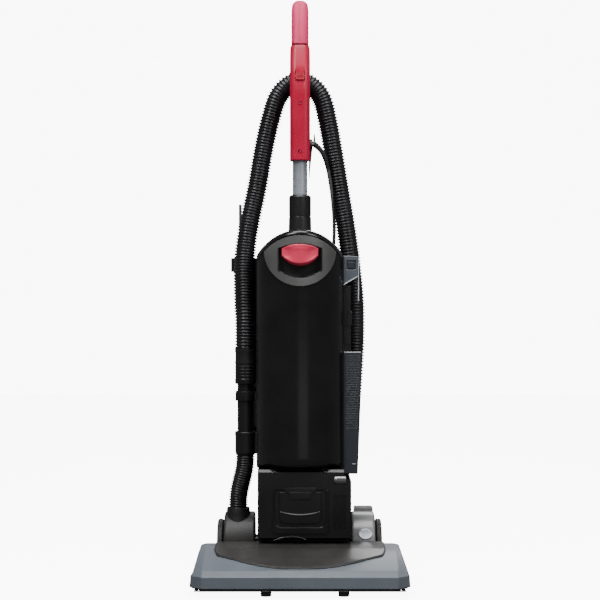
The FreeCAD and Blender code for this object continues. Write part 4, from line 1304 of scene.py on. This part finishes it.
# The release pedal: a grey wedge with tread ribs across its top, on a pin behind the right dome.
pedal_grey = mottled_finish("pedal_grey", (0.24, 0.24, 0.245), (0.31, 0.31, 0.315), 0.40, depth=0.06)
relief("release_pedal", "pedal", pedal_grey, 0.0020)
for rib in range(5):
    tread_rib = lofted("pedal_rib", [[(across, 0.1335 + rib * 0.0062, 0.1246),
                                      (across, 0.1360 + rib * 0.0062, 0.1246),
                                      (across, 0.1356 + rib * 0.0062, 0.1262),
                                      (across, 0.1339 + rib * 0.0062, 0.1262)]
                                     for across in (0.1105, 0.1435)])
    rounded(tread_rib, 0.0003, 1, 40.0)
    finished(applied(tread_rib), "pedal", "dome_grey", pedal_grey)
wire_steel = mottled_finish("spring_wire", (0.34, 0.34, 0.33), (0.46, 0.46, 0.45), 0.3, depth=0.05,
                            metallic=1.0)
spring_low, spring_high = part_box("pedal_spring")
spring_middle = ((spring_low[0] + spring_high[0]) / 2, (spring_low[1] + spring_high[1]) / 2)
spring_tall = spring_high[2] - spring_low[2]
coil = [Vector((spring_middle[0] + 0.0042 * math.cos(step * math.pi / 8),
                spring_middle[1] + 0.0042 * math.sin(step * math.pi / 8),
                spring_low[2] + 0.0008 + (spring_tall - 0.0016) * step / 112)) for step in range(113)]
spring = swept("pedal_spring_coil", coil, [0.0007] * 113, 10)
finished(spring, "foot", "steel", wire_steel, "pedal_spring")


# The paper-lined cloth bag: a soft bag hung from its collar, creased down the sides, slack at the
# foot and fuller in the middle.
bag_low, bag_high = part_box("dust_bag")
bag_cloth = mottled_finish("bag_cloth", (0.56, 0.54, 0.47), (0.68, 0.66, 0.58), 0.9, grain=700.0, depth=0.5,
                           sheen=0.4)
draw = random.Random(11)
bag_middle = [(bag_low[axis] + bag_high[axis]) / 2 for axis in range(3)]
bag_half = [(bag_high[axis] - bag_low[axis]) / 2 for axis in range(3)]
bag_bm = bmesh.new()
bag_rings = []
levels, around = 72, 96
for level in range(levels + 1):
    share = level / levels
    pinch = min(1.0, math.sin(math.pi * min(share * 6, 0.5)),
                math.sin(math.pi * min((1 - share) * 5, 0.5))) ** 0.6
    ring = []
    for side in range(around):
        angle = 2 * math.pi * side / around
        squared = (abs(math.cos(angle)) ** 4 + abs(math.sin(angle)) ** 4) ** -0.25
        crease = 0.0016 * math.sin(angle * 9 + 5 * math.sin(share * 7)) * math.sin(share * 23 + angle * 2)
        gusset = 0.010 * math.exp(-((math.sin(angle)) / 0.22) ** 2)
        reach_x = (bag_half[0] - 0.0035 - gusset) * squared * (0.30 + 0.70 * pinch) + crease
        reach_y = (bag_half[1] - 0.0035) * squared * (0.22 + 0.78 * pinch) + crease
        ring.append(bag_bm.verts.new((bag_middle[0] + reach_x * math.cos(angle),
                                      bag_middle[1] + reach_y * math.sin(angle),
                                      bag_low[2] + 0.0008 + (2 * bag_half[2] - 0.0016) * share)))
    bag_rings.append(ring)
for low_ring, high_ring in zip(bag_rings, bag_rings[1:]):
    for side in range(around):
        bag_bm.faces.new((low_ring[side], low_ring[(side + 1) % around], high_ring[(side + 1) % around],
                          high_ring[side]))
bag_bm.faces.new(list(reversed(bag_rings[0])))
bag_bm.faces.new(bag_rings[-1])
bag = shaped("dust_bag_cloth", bag_bm)
finished(bag, "upright", "bag_cloth", bag_cloth, "dust_bag")


# Every other part of the machine, each with its own moulding, pressing or casting finish.
FINISHES = {
    "trim_black": mottled_finish("inner_satin_black_trim", (0.014, 0.014, 0.016), (0.026, 0.026, 0.029), 0.42,
                                 depth=0.12),
    "steel": mottled_finish("inner_turned_steel", (0.36, 0.36, 0.36), (0.50, 0.50, 0.50), 0.3, depth=0.05,
                            metallic=1.0),
    "soft_rubber": mottled_finish("soft_black_rubber", (0.010, 0.010, 0.010), (0.022, 0.022, 0.022), 0.6,
                                  depth=0.2),
    "filter_paper": mottled_finish("pleated_paper", (0.66, 0.66, 0.62), (0.78, 0.78, 0.74), 0.9, depth=0.3),
    "bristle": mottled_finish("bristle_nylon", (0.012, 0.012, 0.012), (0.05, 0.05, 0.05), 0.6, depth=0.4),
    "winding": mottled_finish("lacquered_winding", (0.20, 0.07, 0.02), (0.36, 0.14, 0.05), 0.35, depth=0.3,
                              metallic=0.6),
}
record = frame["record"]
body_of_node = {node: body for body, listed in record["behaviour"]["bodies"].items() for node in listed}
slot_of_node = {entry["node"]: entry["material_slot"] for entry in record["subparts"]}
tray_black = mottled_finish("tray_black", (0.0035, 0.0035, 0.0040), (0.007, 0.007, 0.008), 0.5, depth=0.10)
tray = relief("nozzle_base", "foot", tray_black, 0.0008)
for lean in (-1.0, 1.0):
    carved(tray, lofted("tray_corner", [
        [(lean * across, deep, high) for across, deep in ((0.1712, -0.1700), (0.1712, -0.1632),
                                                          (0.1980, -0.1384),
                                                          (0.2100, -0.1384), (0.2100, -0.1700))]
        for high in (-0.01, 0.1)]))
already = {"hose_loop", "lower_hose", "power_cord", "cord_hank", "power_plug", "hood", "hood_insert",
           "left_dome", "right_dome", "bag_door", "latch_bezel", "door_latch", "rear_shell", "handle_tube",
           "handle_collar", "left_rear_tyre", "right_rear_tyre", "left_rear_hub", "right_rear_hub",
           "front_roller_left", "front_roller_right", "wand_tube", "wand_holder", "hose_cuff", "hose_socket",
           "grip_lower", "grip_upper", "power_switch", "grip_screws", "front_cover", "motor_housing",
           "side_panel", "filter_cover", "release_pedal", "pedal_spring", "dust_bag", "nozzle_base"}
for node in sorted(frame["nodes"]):
    if node not in already:
        relief(node, body_of_node[node], FINISHES[slot_of_node[node]], 0.0012)
